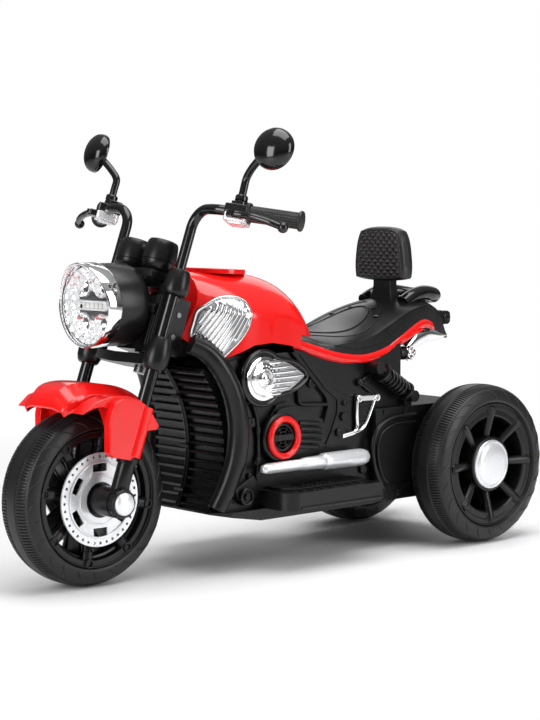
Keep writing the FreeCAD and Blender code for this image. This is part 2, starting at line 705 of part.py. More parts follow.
def fork_clamps():
    lower = clamp("LowerClamp", s.lower_clamp_at, s.lower_cup_radius, s.lower_cup_height)
    upper = clamp("UpperClamp", s.upper_clamp_at, s.upper_cup_radius, s.upper_cup_height)
    raked(group("ForkClamps", lower, upper, lamp_band()), "fork_clamps")


def steering_stem():
    """The stem that turns in the head's bushes, with a nut below and above the clamps."""
    low = s.lower_clamp_at - s.clamp_thickness / 2
    high = s.upper_clamp_at + s.clamp_thickness / 2
    shaft = rod("StemShaft", s.stem_radius, low, high, "z", 0, s.fork_offset)
    foot = rod("StemFoot", s.stem_nut_radius, low - s.stem_nut_height, low, "z", 0, s.fork_offset)
    nut = rod("StemNut", s.stem_nut_radius, high, high + s.stem_nut_height, "z", 0, s.fork_offset)
    raked(fused("SteeringStem", shaft, foot, nut), "steering_stem")


def front_axle():
    """The axle with a slotted nut cover and a plated end cap on each side."""
    body = body_named("AxleNut")
    outer = s.lug_outer
    far = outer + s.nut_width
    tip = far + s.nut_cap_height
    revolve(body, sketch(body, "XY_Plane", [[
        (0, 0), (0, s.axle_radius), (outer, s.axle_radius), (outer, s.nut_radius), (far, s.nut_radius),
        (far, s.nut_cap_radius), (tip, s.nut_cap_radius), (tip, 0),
    ]]))
    half = s.nut_slot / 2
    deep = s.nut_radius - s.nut_slot_depth
    slot = sketch(body, "YZ_Plane", [[
        (-half, deep), (half, deep), (half, s.nut_radius + s.overrun), (-half, s.nut_radius + s.overrun),
    ]], offset=far)
    around(body, pocket(body, slot, s.nut_width / 2), s.nut_slots)
    whole = fused("FrontAxle", body, mirrored(body))
    place(whole, 0, front_y, axle_z)
    keep(whole, "front_axle")


def bar_corners():
    """The bent line of the left handlebar, in the raked frame: up from the clamp, out, then back."""
    low = s.upper_clamp_at + s.seat_gap
    top = s.upper_clamp_at + s.bar_rise
    return [
        Vector(s.fork_half, 0, low), Vector(s.fork_half, 0, top),
        Vector(s.bar_shoulder, -s.bar_forward, top), Vector(s.bar_reach, s.bar_pull, top + s.bar_lift),
    ]


def on_bar(shape, inboard):
    """Moves a shape drawn along +X onto the handlebar's swept end, its origin so far in from the tip."""
    corners = bar_corners()
    heading = (corners[3] - corners[2]).normalize()
    spot = corners[3] - heading * float(inboard)
    turn = FreeCAD.Rotation(heading, Vector(0, 0, 0), Vector(0, 0, 1), "XZY")
    moved = shape.copy()
    moved.Placement = raked_placement().multiply(FreeCAD.Placement(spot, turn)).multiply(moved.Placement)
    return moved


def handlebars():
    path = rounded_path(bar_corners(), [s.bar_bend, s.bar_sweep_bend])
    made = tube(path, s.bar_radius)
    made.Placement = raked_placement().multiply(made.Placement)
    keep(pair("Handlebars", solid("Handlebar", made)), "handlebars")


def grips():
    """Ribbed grips with an inner flange, sleeved over the ends of the bars."""
    length = s.grip_length
    step = (length - s.grip_flange * 2) / float(s.grip_ribs)
    heading = Vector(1, 0, 0)
    start = Vector(0, 0, 0)
    pieces = [Part.makeCylinder(s.grip_flange_radius, s.grip_flange, start, heading)]
    end = Vector(length - s.grip_flange, 0, 0)
    pieces.append(Part.makeCylinder(s.grip_end_radius, s.grip_flange, end, heading))
    for number in range(int(s.grip_ribs)):
        at = Vector(s.grip_flange + step * number + step / 2, 0, 0)
        pieces.append(Part.makeCylinder(s.grip_radius + s.grip_rib, step / 2, at, heading))
    whole = Part.makeCylinder(s.grip_radius, length, start, heading).fuse(pieces)
    hollow = length - s.grip_flange / 2
    bore = Part.makeCylinder(s.bar_radius + s.running_fit, hollow, Vector(-s.overrun, 0, 0), heading)
    shape = on_bar(whole.cut(bore), hollow - s.overrun)
    keep(pair("Grips", solid("Grip", shape)), "grips")


def pod_middle():
    return s.pod_back + s.pod_width / 2


def control_pods():
    """The switch housings clamped round the bars, each with two ears and a pin for its lever."""
    wide = s.pod_width
    corner = Vector(-(wide / 2), -(s.pod_depth / 2), -(s.pod_height / 2))
    box = Part.makeBox(wide, s.pod_depth, s.pod_height, corner)
    box = box.makeFillet(wide / 4, [edge for edge in box.Edges if runs_along_x(edge)])
    bore = Part.makeCylinder(s.bar_radius + s.running_fit, wide * 2, Vector(-wide, 0, 0), Vector(1, 0, 0))
    shape = box.fuse(lever_yoke()).cut(bore).removeSplitter()
    deep = s.horn_height - s.horn_proud + s.horn_travel + s.seat_gap
    start = Vector(0, s.pod_depth / 2 - deep, 0)
    well = Part.makeCylinder(s.horn_radius + s.running_fit, deep + s.overrun, start, Vector(0, 1, 0))
    left = solid("ControlPodLeft", on_bar(shape.cut(well), pod_middle()))
    right = mirrored(solid("ControlPodRight", on_bar(shape, pod_middle())))
    keep(group("ControlPods", left, right), "control_pods")


def runs_along_x(edge):
    ends = [corner.Point for corner in edge.Vertexes]
    run = ends[1] - ends[0]
    return abs(run.x) > abs(run.y) + abs(run.z)


def lever_pivot():
    return Vector(0, -s.lever_forward, -s.lever_drop)


def lever_yoke():
    """Two ears and a pin at the front of the switch housing, round the lever's eye."""
    spot = lever_pivot()
    gap = s.lever_height / 2 + s.seat_gap
    ear = s.lever_height / 2
    reach = s.lever_forward - s.pod_depth / 2 + s.overrun
    pieces = []
    for low in (spot.z + gap, spot.z - gap - ear):
        pieces.append(Part.makeCylinder(s.lever_eye, ear, Vector(spot.x, spot.y, low)))
        corner = Vector(spot.x - s.lever_eye, spot.y, low)
        pieces.append(Part.makeBox(2 * s.lever_eye, reach, ear, corner))
    tall = 2 * (gap + ear)
    pieces.append(Part.makeCylinder(s.lever_pin_radius, tall, Vector(spot.x, spot.y, spot.z - tall / 2)))
    return pieces


def levers():
    """Brake levers with a ball end, on the pins of the switch housings."""
    low = -(s.lever_height / 2)
    eye = Part.makeCylinder(s.lever_eye, s.lever_height, Vector(0, 0, low))
    blade = Part.makeBox(s.lever_length, s.lever_width, s.lever_height, Vector(0, -(s.lever_width / 2), low))
    ball = Part.makeSphere(s.lever_ball, Vector(s.lever_length, 0, 0))
    bore = s.lever_pin_radius + s.running_fit
    hole = Part.makeCylinder(bore, 2 * s.lever_height, Vector(0, 0, -s.lever_height))
    shape = eye.fuse([blade, ball]).cut(hole)
    turn = FreeCAD.Rotation(Vector(0, 0, 1), -s.lever_splay)
    shape.Placement = FreeCAD.Placement(lever_pivot(), turn)
    left = solid("LeverLeft", on_bar(shape, pod_middle()))
    keep(left, "lever_left")
    keep(mirrored(left), "lever_right")


def mirrors():
    """Domed mirror shells on bent stalks that stand on the switch housings."""
    top = s.pod_height / 2 + s.seat_gap
    base = Vector(0, 0, top)
    foot = Part.makeCylinder(s.stalk_foot_radius, s.stalk_foot_height, base)
    middle = Vector(s.mirror_out, -s.mirror_forward, s.mirror_up)
    corners = [base, Vector(0, 0, top + s.stalk_rise), middle]
    stalk = tube(rounded_path(corners, [s.stalk_rise / 4]), s.stalk_radius)
    dome = mirror_dome()
    dome.translate(Vector(0, -(s.mirror_depth / 2), 0))
    dome.rotate(Vector(0, 0, 0), Vector(0, 0, 1), -s.mirror_turn)
    dome.translate(middle)
    shape = foot.fuse([stalk, dome]).removeSplitter()
    left = solid("MirrorLeft", on_bar(shape, pod_middle()))
    keep(left, "mirror_left")
    keep(mirrored(left), "mirror_right")


def mirror_dome():
    """The shell: a dome to the front, a short rim and a flat face to the rider."""
    radius = s.mirror_radius
    depth = s.mirror_depth
    rim_y = depth - s.mirror_rim
    middle_share = 0.5
    fall = rim_y - dome_rise(float(radius), float(rim_y), middle_share)
    arc = Part.Arc(Vector(0, 0, 0), Vector(radius * middle_share, fall, 0), Vector(radius, rim_y, 0))
    side = Part.LineSegment(Vector(radius, rim_y, 0), Vector(radius, depth, 0))
    back = Part.LineSegment(Vector(radius, depth, 0), Vector(0, depth, 0))
    spine = Part.LineSegment(Vector(0, depth, 0), Vector(0, 0, 0))
    wire = Part.Wire([curve.toShape() for curve in (arc, side, back, spine)])
    return Part.Face(wire).revolve(Vector(0, 0, 0), Vector(0, 1, 0), 360)


def horn_button():
    """The horn button in the rider's face of the left switch housing."""
    start = Vector(0, s.pod_depth / 2 + s.horn_proud - s.horn_height, 0)
    shape = Part.makeCylinder(s.horn_radius, s.horn_height, start, Vector(0, 1, 0))
    keep(solid("HornButton", on_bar(shape, pod_middle())), "horn_button")


def gauge_pods():
    """Two round gauge pods standing on the upper clamp, flared to the top."""
    base = s.upper_clamp_at + s.clamp_thickness / 2
    waist = s.gauge_radius - s.gauge_neck
    top = base + s.gauge_height
    body = turned("GaugePod", [
        (0, base), (waist, base), (s.gauge_radius, base + s.gauge_height / 2), (s.gauge_radius, top),
        (0, top),
    ], "V_Axis", "XZ_Plane")
    place(body, s.gauge_half, -s.gauge_forward, 0)
    raked(pair("GaugePods", body), "gauge_pods")


# Headlamp, turned about a level axis

def lamp_turned(name, node, profile):
    """Profiles are (radius, depth behind the lamp's front)."""
    body = turned(name, profile, "V_Axis", "XY_Plane")
    place(body, 0, s.lamp_y, s.lamp_z)
    return keep(body, node)


def headlamp():
    back = s.lamp_length
    wall = s.lamp_wall
    belly_at_share = 0.55
    belly_share = 0.86
    mouth = (s.bezel_radius + s.lens_radius) / 2
    inner = mouth - wall
    lamp_turned("LampShell", "headlamp_shell", [
        (mouth, s.bezel_depth), (s.lamp_tail_radius, back, mouth * belly_share, back * belly_at_share),
        (s.lamp_stub_radius, back), (s.lamp_stub_radius, lamp_reach()), (0, lamp_reach()),
        (0, back - wall), (s.lamp_tail_radius - wall, back - wall),
        (inner, s.bezel_depth, inner * belly_share, (back - wall) * belly_at_share),
    ])
    lamp_turned("LampBezel", "headlamp_bezel", [
        (s.lens_radius, -s.lamp_wall), (s.bezel_radius, 0), (s.bezel_radius, s.bezel_depth),
        (s.lens_radius, s.bezel_depth - s.seat_gap), (s.lens_radius, wall * 2),
        (s.lens_radius - wall, wall * 2), (s.lens_radius - wall, wall),
        (s.lens_radius, wall),
    ])
    edge = s.lens_radius - s.seat_gap
    front = wall - s.lens_thickness
    crown = front - s.lens_crown
    middle_share = 0.5
    drop = front - dome_rise(float(edge), float(s.lens_crown), middle_share)
    thin = s.lens_thickness - s.seat_gap
    lamp_turned("LampLens", "headlamp_lens", [
        (0, crown), (edge, front, edge * middle_share, drop), (edge, front + thin),
        (0, crown + thin, edge * middle_share, drop + thin),
    ])
    lip = s.lens_radius - s.seat_gap
    bowl = wall * 2 + s.seat_gap
    deep = bowl + s.reflector_depth
    hole = s.lamp_stub_radius / 2
    bowl_share = 0.62
    deep_share = 0.66
    lamp_turned("LampReflector", "headlamp_reflector", [
        (lip, bowl), (hole, deep, lip * bowl_share, bowl + s.reflector_depth * deep_share),
        (hole, deep + wall),
        (lip - wall, bowl + wall * 2, lip * bowl_share, bowl + wall * 2 + s.reflector_depth * deep_share),
        (lip, bowl + wall * 2),
    ])


def lamp_reach():
    """Length of the lamp's stub, back to the bracket's face on the level of the lamp's axis."""
    rake = math.radians(s.rake_angle)
    height = s.lamp_z - axle_z
    face = s.stanchion_radius + s.clamp_front
    along = (height - face * math.sin(rake)) / math.cos(rake)
    face_y = front_y + along * math.sin(rake) - face * math.cos(rake)
    return face_y - s.lamp_y - s.lamp_stub_radius * math.tan(rake) - s.seat_gap


# Front mudguard

def guard_section(angle, crown, edge, width):
    """One ring of the mudguard, as a closed wire about the axle at an angle up from the rear."""
    half = s.guard_half * width
    inner = s.wheel_radius + s.guard_clear
    top = inner + (s.guard_crown - s.guard_clear) * crown
    low = s.wheel_radius + s.guard_crown * edge
    side_share = 0.55
    side = low + (top - low) * side_share
    wall = s.guard_wall
    flat_share = 0.55
    flat = half * flat_share
    outline = [
        (-half, low), (-half, side), (-flat, top), (flat, top), (half, side), (half, low), (half - wall, low),
        (half - wall, side - wall / 2), (flat - wall / 2, top - wall), (-flat + wall / 2, top - wall),
        (-half + wall, side - wall / 2), (-half + wall, low),
    ]
    turn = math.radians(angle)
    points = [Vector(x, r * math.cos(turn), r * math.sin(turn)) for x, r in outline]
    return Part.makePolygon(points + points[:1])


def front_mudguard():
    """An arch with a raised crown and a flared nose, on two arms that sleeve the fork tubes."""
    arch = Part.makeLoft([guard_section(*row) for row in GUARD_SHARES], True, False)
    arch.translate(Vector(0, front_y, axle_z))
    pieces = []
    bores = []
    tall = s.guard_arm_top - s.guard_arm_low
    near = s.guard_half - s.guard_wall / 2
    for sign in (-1, 1):
        foot = Vector(s.fork_half * sign, 0, s.guard_arm_low)
        sleeve = Part.makeCylinder(s.guard_sleeve, tall, foot)
        corner = Vector(near if sign > 0 else -s.fork_half, -(s.guard_arm_depth / 2), s.guard_arm_low)
        plate = Part.makeBox(s.fork_half - near, s.guard_arm_depth, tall, corner)
        hole = Part.makeCylinder(
            s.stanchion_radius + s.running_fit, tall + 2 * s.overrun, foot - Vector(0, 0, s.overrun)
        )
        for shape in (sleeve, plate, hole):
            shape.Placement = raked_placement().multiply(shape.Placement)
        pieces += [sleeve, plate]
        bores.append(hole)
    whole = arch.fuse(pieces).cut(Part.makeCompound(bores)).removeSplitter()
    keep(solid("FrontMudguard", whole), "front_mudguard")


# Steering head and radiator

def at_rake(thing):
    return place(thing, 0, front_y, axle_z, (1, 0, 0), -s.rake_angle)


def steering_head():
    """The head block on the neck of the frame, with a flanged bush at each end of its bore."""
    middle = s.fork_offset
    front = middle - s.head_front
    back = middle + s.head_back
    head_block = block("HeadBlock", -s.head_half, s.head_half, front, back, s.head_low, s.head_top)
    outer = group("HeadOuter", head_block)
    at_rake(outer)
    neck = block("HeadNeck", -s.neck_half, s.neck_half, s.frame_top_y, s.neck_end,
                 s.body_roof, s.body_roof + s.neck_height)
    room = s.bush_flange_height + s.overrun
    wide = s.bush_radius + s.running_fit
    bore = rod("HeadBore", wide, s.head_low - room, s.head_top + room, "z", 0, middle)
    flange_room = s.bush_flange + s.seat_gap
    under = rod("HeadUnder", flange_room, s.head_low - room * 2, s.head_low, "z", 0, middle)
    tools = group("HeadTools", bore, under)
    at_rake(tools)
    bushes = []
    for name, flange, at in (("Lower", s.head_low - s.bush_flange_height, s.head_low),
                             ("Upper", s.head_top, s.head_top - s.bush_length)):
        top = flange + s.bush_flange_height
        collar = rod(name + "BushFlange", s.bush_flange, flange, top, "z", 0, middle)
        sleeve = rod(name + "BushSleeve", s.bush_radius, at, at + s.bush_length, "z", 0, middle)
        inner = rod(name + "BushBore", s.stem_radius + s.running_fit, at - s.bush_length,
                    at + 2 * s.bush_length, "z", 0, middle)
        bush = cut(name + "Bush", fused(name + "BushSolid", collar, sleeve), inner)
        at_rake(bush)
        bushes.append(bush)
    head = cut("HeadAndNeck", fused("HeadSolid", outer, neck), tools)
    keep(group("SteeringHead", head, *bushes), "steering_head")


def body_front_arc():
    low = (s.body_front_low, s.tray_top)
    mid = (s.body_front_mid, s.body_front_mid_z)
    top = (s.body_front_top, s.body_shoulder_z)
    return low, mid, top


def radiator():
    """A deep ribbed block between the frame tubes, hollowed in front to clear the wheel."""
    low, mid, top = body_front_arc()
    back = s.seat_gap
    deep = s.radiator_depth
    body = body_named("RadiatorCore")
    pad(body, sketch(body, "YZ_Plane", [[
        (low[0] - back, low[1]), (top[0] - back, top[1], mid[0] - back, mid[1]),
        (top[0] - deep, top[1]), (low[0] - deep / 2, low[1], mid[0] - deep, mid[1]),
    ]]), s.radiator_half * 2, both=True)
    doc.recompute()
    arc = Part.Arc(Vector(0, top[0] - deep, top[1]), Vector(0, mid[0] - deep, mid[1]),
                   Vector(0, low[0] - deep / 2, low[1]))
    pieces = []
    count = int(s.rib_count)
    first, last = arc.FirstParameter, arc.LastParameter
    step = (last - first) / count
    for number in range(count):
        spot = arc.value(first + step * number + step / 2)
        rib = Part.makeBox(2 * s.radiator_half, s.rib_depth * 2, s.rib_height,
                           Vector(-s.radiator_half, spot.y - s.rib_depth, spot.z - s.rib_height / 2))
        pieces.append(rib)
    pipe_line = arc.copy().toShape()
    pipe_line.translate(Vector(0, -s.rib_depth, 0))
    pieces.append(tube(Part.Wire([pipe_line]), s.radiator_pipe_radius))
    wide = 4 * s.radiator_half
    floor = Part.makeBox(wide, wide, wide, Vector(-wide / 2, low[0] - wide / 2, low[1] - wide))
    tubes = Part.makeCompound(frame_pair(s.frame_radius + s.seat_gap))
    whole = body.Shape.fuse(pieces).cut([floor, tubes]).removeSplitter()
    whole = max(whole.Solids, key=lambda part: part.Volume)
    keep(solid("RadiatorPanel", whole), "radiator_panel")


def frame_pair(radius):
    """The bent rods of the two frame tubes, from the head down round the radiator to the tray."""
    low, mid, top = body_front_arc()
    back = s.frame_radius + s.seat_gap * 3
    tubes = []
    for sign in (1, -1):
        corners = [
            Vector(s.frame_top_half * sign, s.frame_top_y, s.frame_top_z),
            Vector(s.frame_half * sign, mid[0] - back - s.frame_radius / 2, s.frame_knee_z),
            Vector(s.frame_half * sign, mid[0] - back, s.body_front_mid_z - s.frame_radius * 2),
            Vector(s.frame_foot_half * sign, low[0] - back, s.tray_top + s.seat_gap),
        ]
        tubes.append(tube(rounded_path(corners, [s.frame_bend, s.frame_bend]), radius))
    return tubes


def frame_tubes():
    """The frame tubes, cut off level on the tray and clear of the tank's cheeks."""
    wide = 4 * s.frame_half
    floor = Part.makeBox(wide, wide, wide, Vector(-wide / 2, s.body_front_low - wide / 2, s.tray_top - wide))
    cheeks = tank_loft(0, s.grille_thickness + s.grille_rib_rise + s.seat_gap)
    tubes = [shape.cut([floor, cheeks]) for shape in frame_pair(s.frame_radius)]
    tubes = [max(shape.Solids, key=lambda part: part.Volume) for shape in tubes]
    keep(solid("RadiatorFrames", Part.makeCompound(tubes)), "radiator_frames")


# Tray, body shells, footboards

def lower_tray():
    """The floor pan: a plate with a skirt, open below and rising to the front."""
    body = body_named("LowerTray")
    half = s.tray_half
    corner = s.tray_corner
    plan = [
        (-half + corner, s.tray_front), (half - corner, s.tray_front), (half, s.tray_front + corner),
        (half, s.tray_back), (-half, s.tray_back), (-half, s.tray_front + corner),
    ]
    tall = s.tray_top - s.tray_low
    pad(body, sketch(body, "XY_Plane", [plan], offset=s.tray_low), tall)
    inner = half - s.tray_wall
    front = s.tray_front + s.tray_wall
    back = s.tray_back - s.tray_wall
    hollow = [
        (-inner + corner, front), (inner - corner, front), (inner, front + corner), (inner, back),
        (-inner, back), (-inner, front + corner),
    ]
    pocket(body, sketch(body, "XY_Plane", [hollow], offset=s.tray_low), tall - s.tray_wall, back=True)
    under = [(s.tray_front - s.overrun, s.tray_top - s.tray_wall), (s.tray_rake_back, s.tray_low),
             (s.tray_rake_back, s.tray_low - tall), (s.tray_front - s.overrun, s.tray_low - tall)]
    keep(cut("TrayRaked", body, solid("TrayRake", polygon_slab(under, s.tray_half * 2))), "lower_tray")


def seat_point(along, height):
    return s.seat_front + s.seat_length * along, s.seat_base + s.seat_height * height


def seat_line(shares):
    return [seat_point(along, height) for along, height in shares]


def shell_outline(inset):
    """Side view of the body shell, drawn in by an inset all round."""
    low, mid, top = body_front_arc()
    roof = [(y, z - s.seat_gap - inset) for y, z in seat_line(SEAT_LOW_SHARES[:6])]
    back_top = seat_point(*SEAT_LOW_SHARES[6])[1] - s.seat_gap
    step = s.housing_top + s.seat_gap
    front = roof[0][0]
    return [
        (low[0] + inset, low[1] + inset), (s.tray_back - inset, low[1] + inset),
        (s.tray_back - inset, step + inset), (s.body_back - inset, step + inset),
        (s.body_back - inset, back_top - inset - s.seat_height / 10),
    ] + roof[::-1] + [
        (front - s.body_wall * 2, s.body_roof - inset),
        (top[0] + s.body_wall * 4 + inset, s.body_roof - inset),
        (top[0] + inset, top[1] - inset), (low[0] + inset, low[1] + inset, mid[0] + inset, mid[1]),
    ]


def closed(outline):
    """Folds the arc that ends an outline back onto its first point."""
    arc = outline[-1]
    return [arc] + outline[1:-1]


def strut_outline():
    low = s.tray_top
    tall = s.body_roof - low
    long = s.body_back - s.body_front_low
    return [(s.body_front_low + long * y, low + tall * z) for y, z in STRUT_SHARES]


def teardrop(radius, tail):
    """A round front drawn out to a point at the back."""
    y, z = s.cleaner_y, s.cleaner_z
    rise_share = 0.9
    front_share = 0.44
    rise = radius * rise_share
    front = radius * front_share
    return [
        (y + front, z + rise), (y + front, z - rise, y - radius, z), (y + tail, z - radius / 6),
        (y + tail, z + radius / 6),
    ]


def body_shell(side):
    """One half of the body, with the air cleaner's seat, the barrel and the frame strut in relief."""
    body = body_named("Body" + side.title())
    pad(body, sketch(body, "YZ_Plane", [closed(shell_outline(Size(0, "0")))]), s.body_half)
    pocket(body, sketch(body, "YZ_Plane", [closed(shell_outline(s.body_wall))]), s.body_half - s.body_wall,
           back=True)
    face = s.body_half
    pad(body, sketch(body, "YZ_Plane", [strut_outline()], offset=face), s.strut_rise)
    pad(body, sketch(body, "YZ_Plane", [teardrop(s.cleaner_radius, s.cleaner_tail)], offset=face),
        s.cleaner_rise)
    barrel = [
        (s.ring_y, s.ring_z - s.barrel_half), (s.barrel_end, s.ring_z - s.barrel_half),
        (s.barrel_end, s.ring_z + s.barrel_half), (s.ring_y, s.ring_z + s.barrel_half),
    ]
    pad(body, sketch(body, "YZ_Plane", [barrel], offset=face), s.barrel_rise)
    drum = [(s.ring_y, s.ring_z, s.barrel_radius)]
    pad(body, sketch(body, "YZ_Plane", circles=drum, offset=face), s.barrel_rise)
    start = s.ring_y + s.barrel_radius + s.fin_cut
    step = (s.barrel_end - start) / float(s.fin_count)
    slots = []
    for number in range(int(s.fin_count)):
        at = start + step * number
        top = s.ring_z + s.barrel_half + s.overrun
        low = s.ring_z - s.barrel_half - s.overrun
        slots.append([(at, low), (at + s.fin_cut, low), (at + s.fin_cut, top), (at, top)])
    floor = face + s.barrel_rise - s.fin_depth
    pocket(body, sketch(body, "YZ_Plane", slots, offset=floor), s.barrel_rise, back=True)
    return body


def body_shells():
    """The two halves of the body, each with a groove along its front edge for the frame tube."""
    rods = solid("FrameRods", Part.makeCompound(frame_pair(s.frame_radius + s.seat_gap)))
    keep(cut("BodyLeftShell", body_shell("left"), rods), "body_shell_left")
    keep(cut("BodyRightShell", mirrored(body_shell("right")), rods), "body_shell_right")


def footboards():
    """Side steps on the tray with a rounded front and a ribbed top."""
    body = body_named("Footboard")
    inner = s.body_half + s.seat_gap
    corner = s.board_corner
    corner_share = 0.293
    outer = s.board_half
    plan = [
        (inner, s.board_front), (outer - corner, s.board_front),
        (outer, s.board_front + corner, outer - corner * corner_share, s.board_front + corner * corner_share),
        (outer, s.board_back), (inner, s.board_back),
    ]
    tall = s.board_top - s.tray_top
    pad(body, sketch(body, "XY_Plane", [plan], offset=s.tray_top), tall)
    wall = s.board_wall
    hollow = [
        (s.tray_half + wall, s.board_front + corner), (outer - wall, s.board_front + corner),
        (outer - wall, s.board_back - wall), (s.tray_half + wall, s.board_back - wall),
    ]
    pocket(body, sketch(body, "XY_Plane", [hollow], offset=s.tray_top), tall - wall, back=True)
    long = s.board_back - s.board_front - corner * 2
    step = long / float(s.board_rib_count)
    ribs = []
    for number in range(int(s.board_rib_count)):
        at = s.board_front + corner + step * number + step / 2
        reach = outer - s.board_rib * 2
        near = s.pipe_x + s.muffler_radius
        ribs.append([(near, at), (reach, at), (reach, at + s.board_rib), (near, at + s.board_rib)])
    right = body_named("FootboardPlain")
    pad(right, sketch(right, "XY_Plane", [plan], offset=s.tray_top), tall)
    pocket(right, sketch(right, "XY_Plane", [hollow], offset=s.tray_top), tall - wall, back=True)
    pad(body, sketch(body, "XY_Plane", ribs, offset=s.board_top), s.board_rib_rise)
    keep(group("Footboards", body, fused("RightBoard", mirrored(right), *pedal_ears())), "footboards")


def pedal_ears():
    """Two ears and a pin on the right board that carry the pedal."""
    spot = pedal_place()
    half = s.pedal_width / 2 + s.seat_gap
    depth = s.pedal_thickness
    pieces = []
    for name, near in (("Inner", spot[0] + half), ("Outer", spot[0] - half - s.pedal_ear)):
        pieces.append(block(f"PedalEar{name}", near, near + s.pedal_ear, spot[1] - depth, spot[1] + depth,
                            s.board_top - s.overrun, spot[2] + s.pedal_ear_rise))
    reach = half + s.pedal_ear / 2
    start, end = spot[0] - reach, spot[0] + reach
    pieces.append(rod("PedalPin", s.pedal_pin_radius, start, end, "x", spot[1], spot[2]))
    return pieces


# Rear housing and drive

def housing_outline(inset):
    front = s.housing_front + inset
    back = s.housing_back - inset
    low = s.housing_low + inset
    top = s.housing_top - inset
    lean = s.housing_chamfer
    return [
        (front, low), (back - lean / 2, low), (back, low + lean / 2), (back, top - lean), (back - lean, top),
        (front, top),
    ]


def axle_housing():
    """The closed housing between the rear wheels, with the axle's bores and a raised arch."""
    body = body_named("AxleHousing")
    zero = Size(0, "0")
    pad(body, sketch(body, "YZ_Plane", [housing_outline(zero)]), s.housing_half * 2, both=True)
    inner = (s.housing_half - s.housing_wall) * 2
    pocket(body, sketch(body, "YZ_Plane", [housing_outline(s.housing_wall)]), inner, both=True)
    bore = s.rear_axle_radius + s.running_fit
    left = sketch(body, "YZ_Plane", circles=[(rear_y, axle_z, bore)])
    pocket(body, left, s.housing_half + s.overrun, back=True)
    wide = s.drive_sleeve_radius + s.seat_gap
    right = sketch(body, "YZ_Plane", circles=[(rear_y, axle_z, wide)])
    pocket(body, right, s.housing_half + s.overrun)
    centre = s.housing_front + s.arch_radius
    arch = [(centre, axle_z + s.arch_radius / 2, s.arch_radius),
            (centre, axle_z + s.arch_radius / 2, s.arch_radius - s.arch_depth * 4)]
    rim_left = sketch(body, "YZ_Plane", circles=arch, offset=s.housing_half - s.arch_depth)
    pocket(body, rim_left, s.housing_wall, back=True)
    rim_right = sketch(body, "YZ_Plane", circles=arch, offset=-s.housing_half + s.arch_depth)
    pocket(body, rim_right, s.housing_wall)
    keep(body, "axle_housing")


def rear_axle():
    reach = s.rear_track / 2 + s.rear_hub_out
    keep(rod("RearAxle", s.rear_axle_radius, -reach, reach, "x", rear_y, axle_z), "rear_axle")


def gear_outline(teeth, phase):
    """Tooth flanks as straight lines between root, pitch and tip circles, thinned for backlash."""
    module = float(s.gear_module)
    pitch = module * float(teeth) / 2
    root_share = 1.25
    tip_share = 0.95
    root = pitch - root_share * module
    tip = pitch + tip_share * module
    turn = 2 * math.pi / float(teeth)
    slack = float(s.gear_backlash) / pitch / 2
    half_pitch = turn / 4 - slack
    tip_draw_share = 0.36
    root_spread_share = 0.30
    half_tip = half_pitch - module * tip_draw_share / pitch
    half_root = half_pitch + module * root_spread_share / pitch
    points = []
    for number in range(int(teeth)):
        middle = phase + turn * number
        for radius, shift in ((root, -half_root), (pitch, -half_pitch), (tip, -half_tip),
                              (tip, half_tip), (pitch, half_pitch), (root, half_root)):
            angle = middle + shift
            points.append(Vector(0, radius * math.cos(angle), radius * math.sin(angle)))
    return Part.Face(Part.makePolygon(points + points[:1]))


def gear_start():
    """The drive gear and pinion share one plane, just inside the end of the drive sleeve."""
    return -(s.drive_sleeve_in + s.gear_width)


def drive_gear():
    wheel = gear_outline(s.gear_teeth, 0).extrude(Vector(s.gear_width, 0, 0))
    hole = Part.makeCylinder(s.drive_sleeve_radius + s.running_fit, 3 * s.gear_width,
                             Vector(-s.gear_width, 0, 0), Vector(1, 0, 0))
    made = wheel.cut(hole)
    made.translate(Vector(gear_start(), rear_y, axle_z))
    keep(solid("DriveGear", made), "drive_gear")


def motor_axis_y():
    return rear_y - s.gear_module * (s.gear_teeth + s.pinion_teeth) / 2


def motor_pinion():
    half_tooth = math.pi / float(s.pinion_teeth)
    wheel = gear_outline(s.pinion_teeth, half_tooth).extrude(Vector(s.gear_width, 0, 0))
    hole = Part.makeCylinder(s.motor_shaft_radius + s.running_fit, 3 * s.gear_width,
                             Vector(-s.gear_width, 0, 0), Vector(1, 0, 0))
    made = wheel.cut(hole)
    made.translate(Vector(gear_start(), motor_axis_y(), axle_z))
    keep(solid("MotorPinion", made), "motor_pinion")


def drive_motor():
    """The motor can with its boss and shaft, on a foot that stands on the housing's floor."""
    y = motor_axis_y()
    face = gear_start() + s.gear_width + s.seat_gap * 2
    boss = rod("MotorBoss", s.motor_boss, face, face + s.motor_boss, "x", y, axle_z)
    near = face + s.motor_boss
    can = rod("MotorCan", s.motor_radius, near, near + s.motor_length, "x", y, axle_z)
    shaft = rod("MotorShaft", s.motor_shaft_radius, gear_start(), face + s.motor_boss, "x", y, axle_z)
    low = s.housing_low + s.housing_wall
    start = face + s.motor_boss + s.motor_foot / 2
    half = s.motor_radius / 2
    foot = block("MotorFoot", start, start + s.motor_foot, y - half, y + half, low, axle_z)
    keep(fused("DriveMotor", boss, can, shaft, foot), "drive_motor")


def battery():
    half = s.battery_width / 2
    start = s.battery_y - s.battery_length / 2
    low = s.tray_top + s.body_wall
    top = low + s.battery_height
    case = block("BatteryCase", -half, half, start, start + s.battery_length, low, top)
    ends = []
    for sign in (-1, 1):
        at = s.battery_y + s.terminal_spread * sign
        ends.append(rod(f"Terminal{sign + 1}", s.terminal_radius, top, top + s.terminal_height, "z", 0, at))
    keep(fused("Battery", case, *ends), "battery")


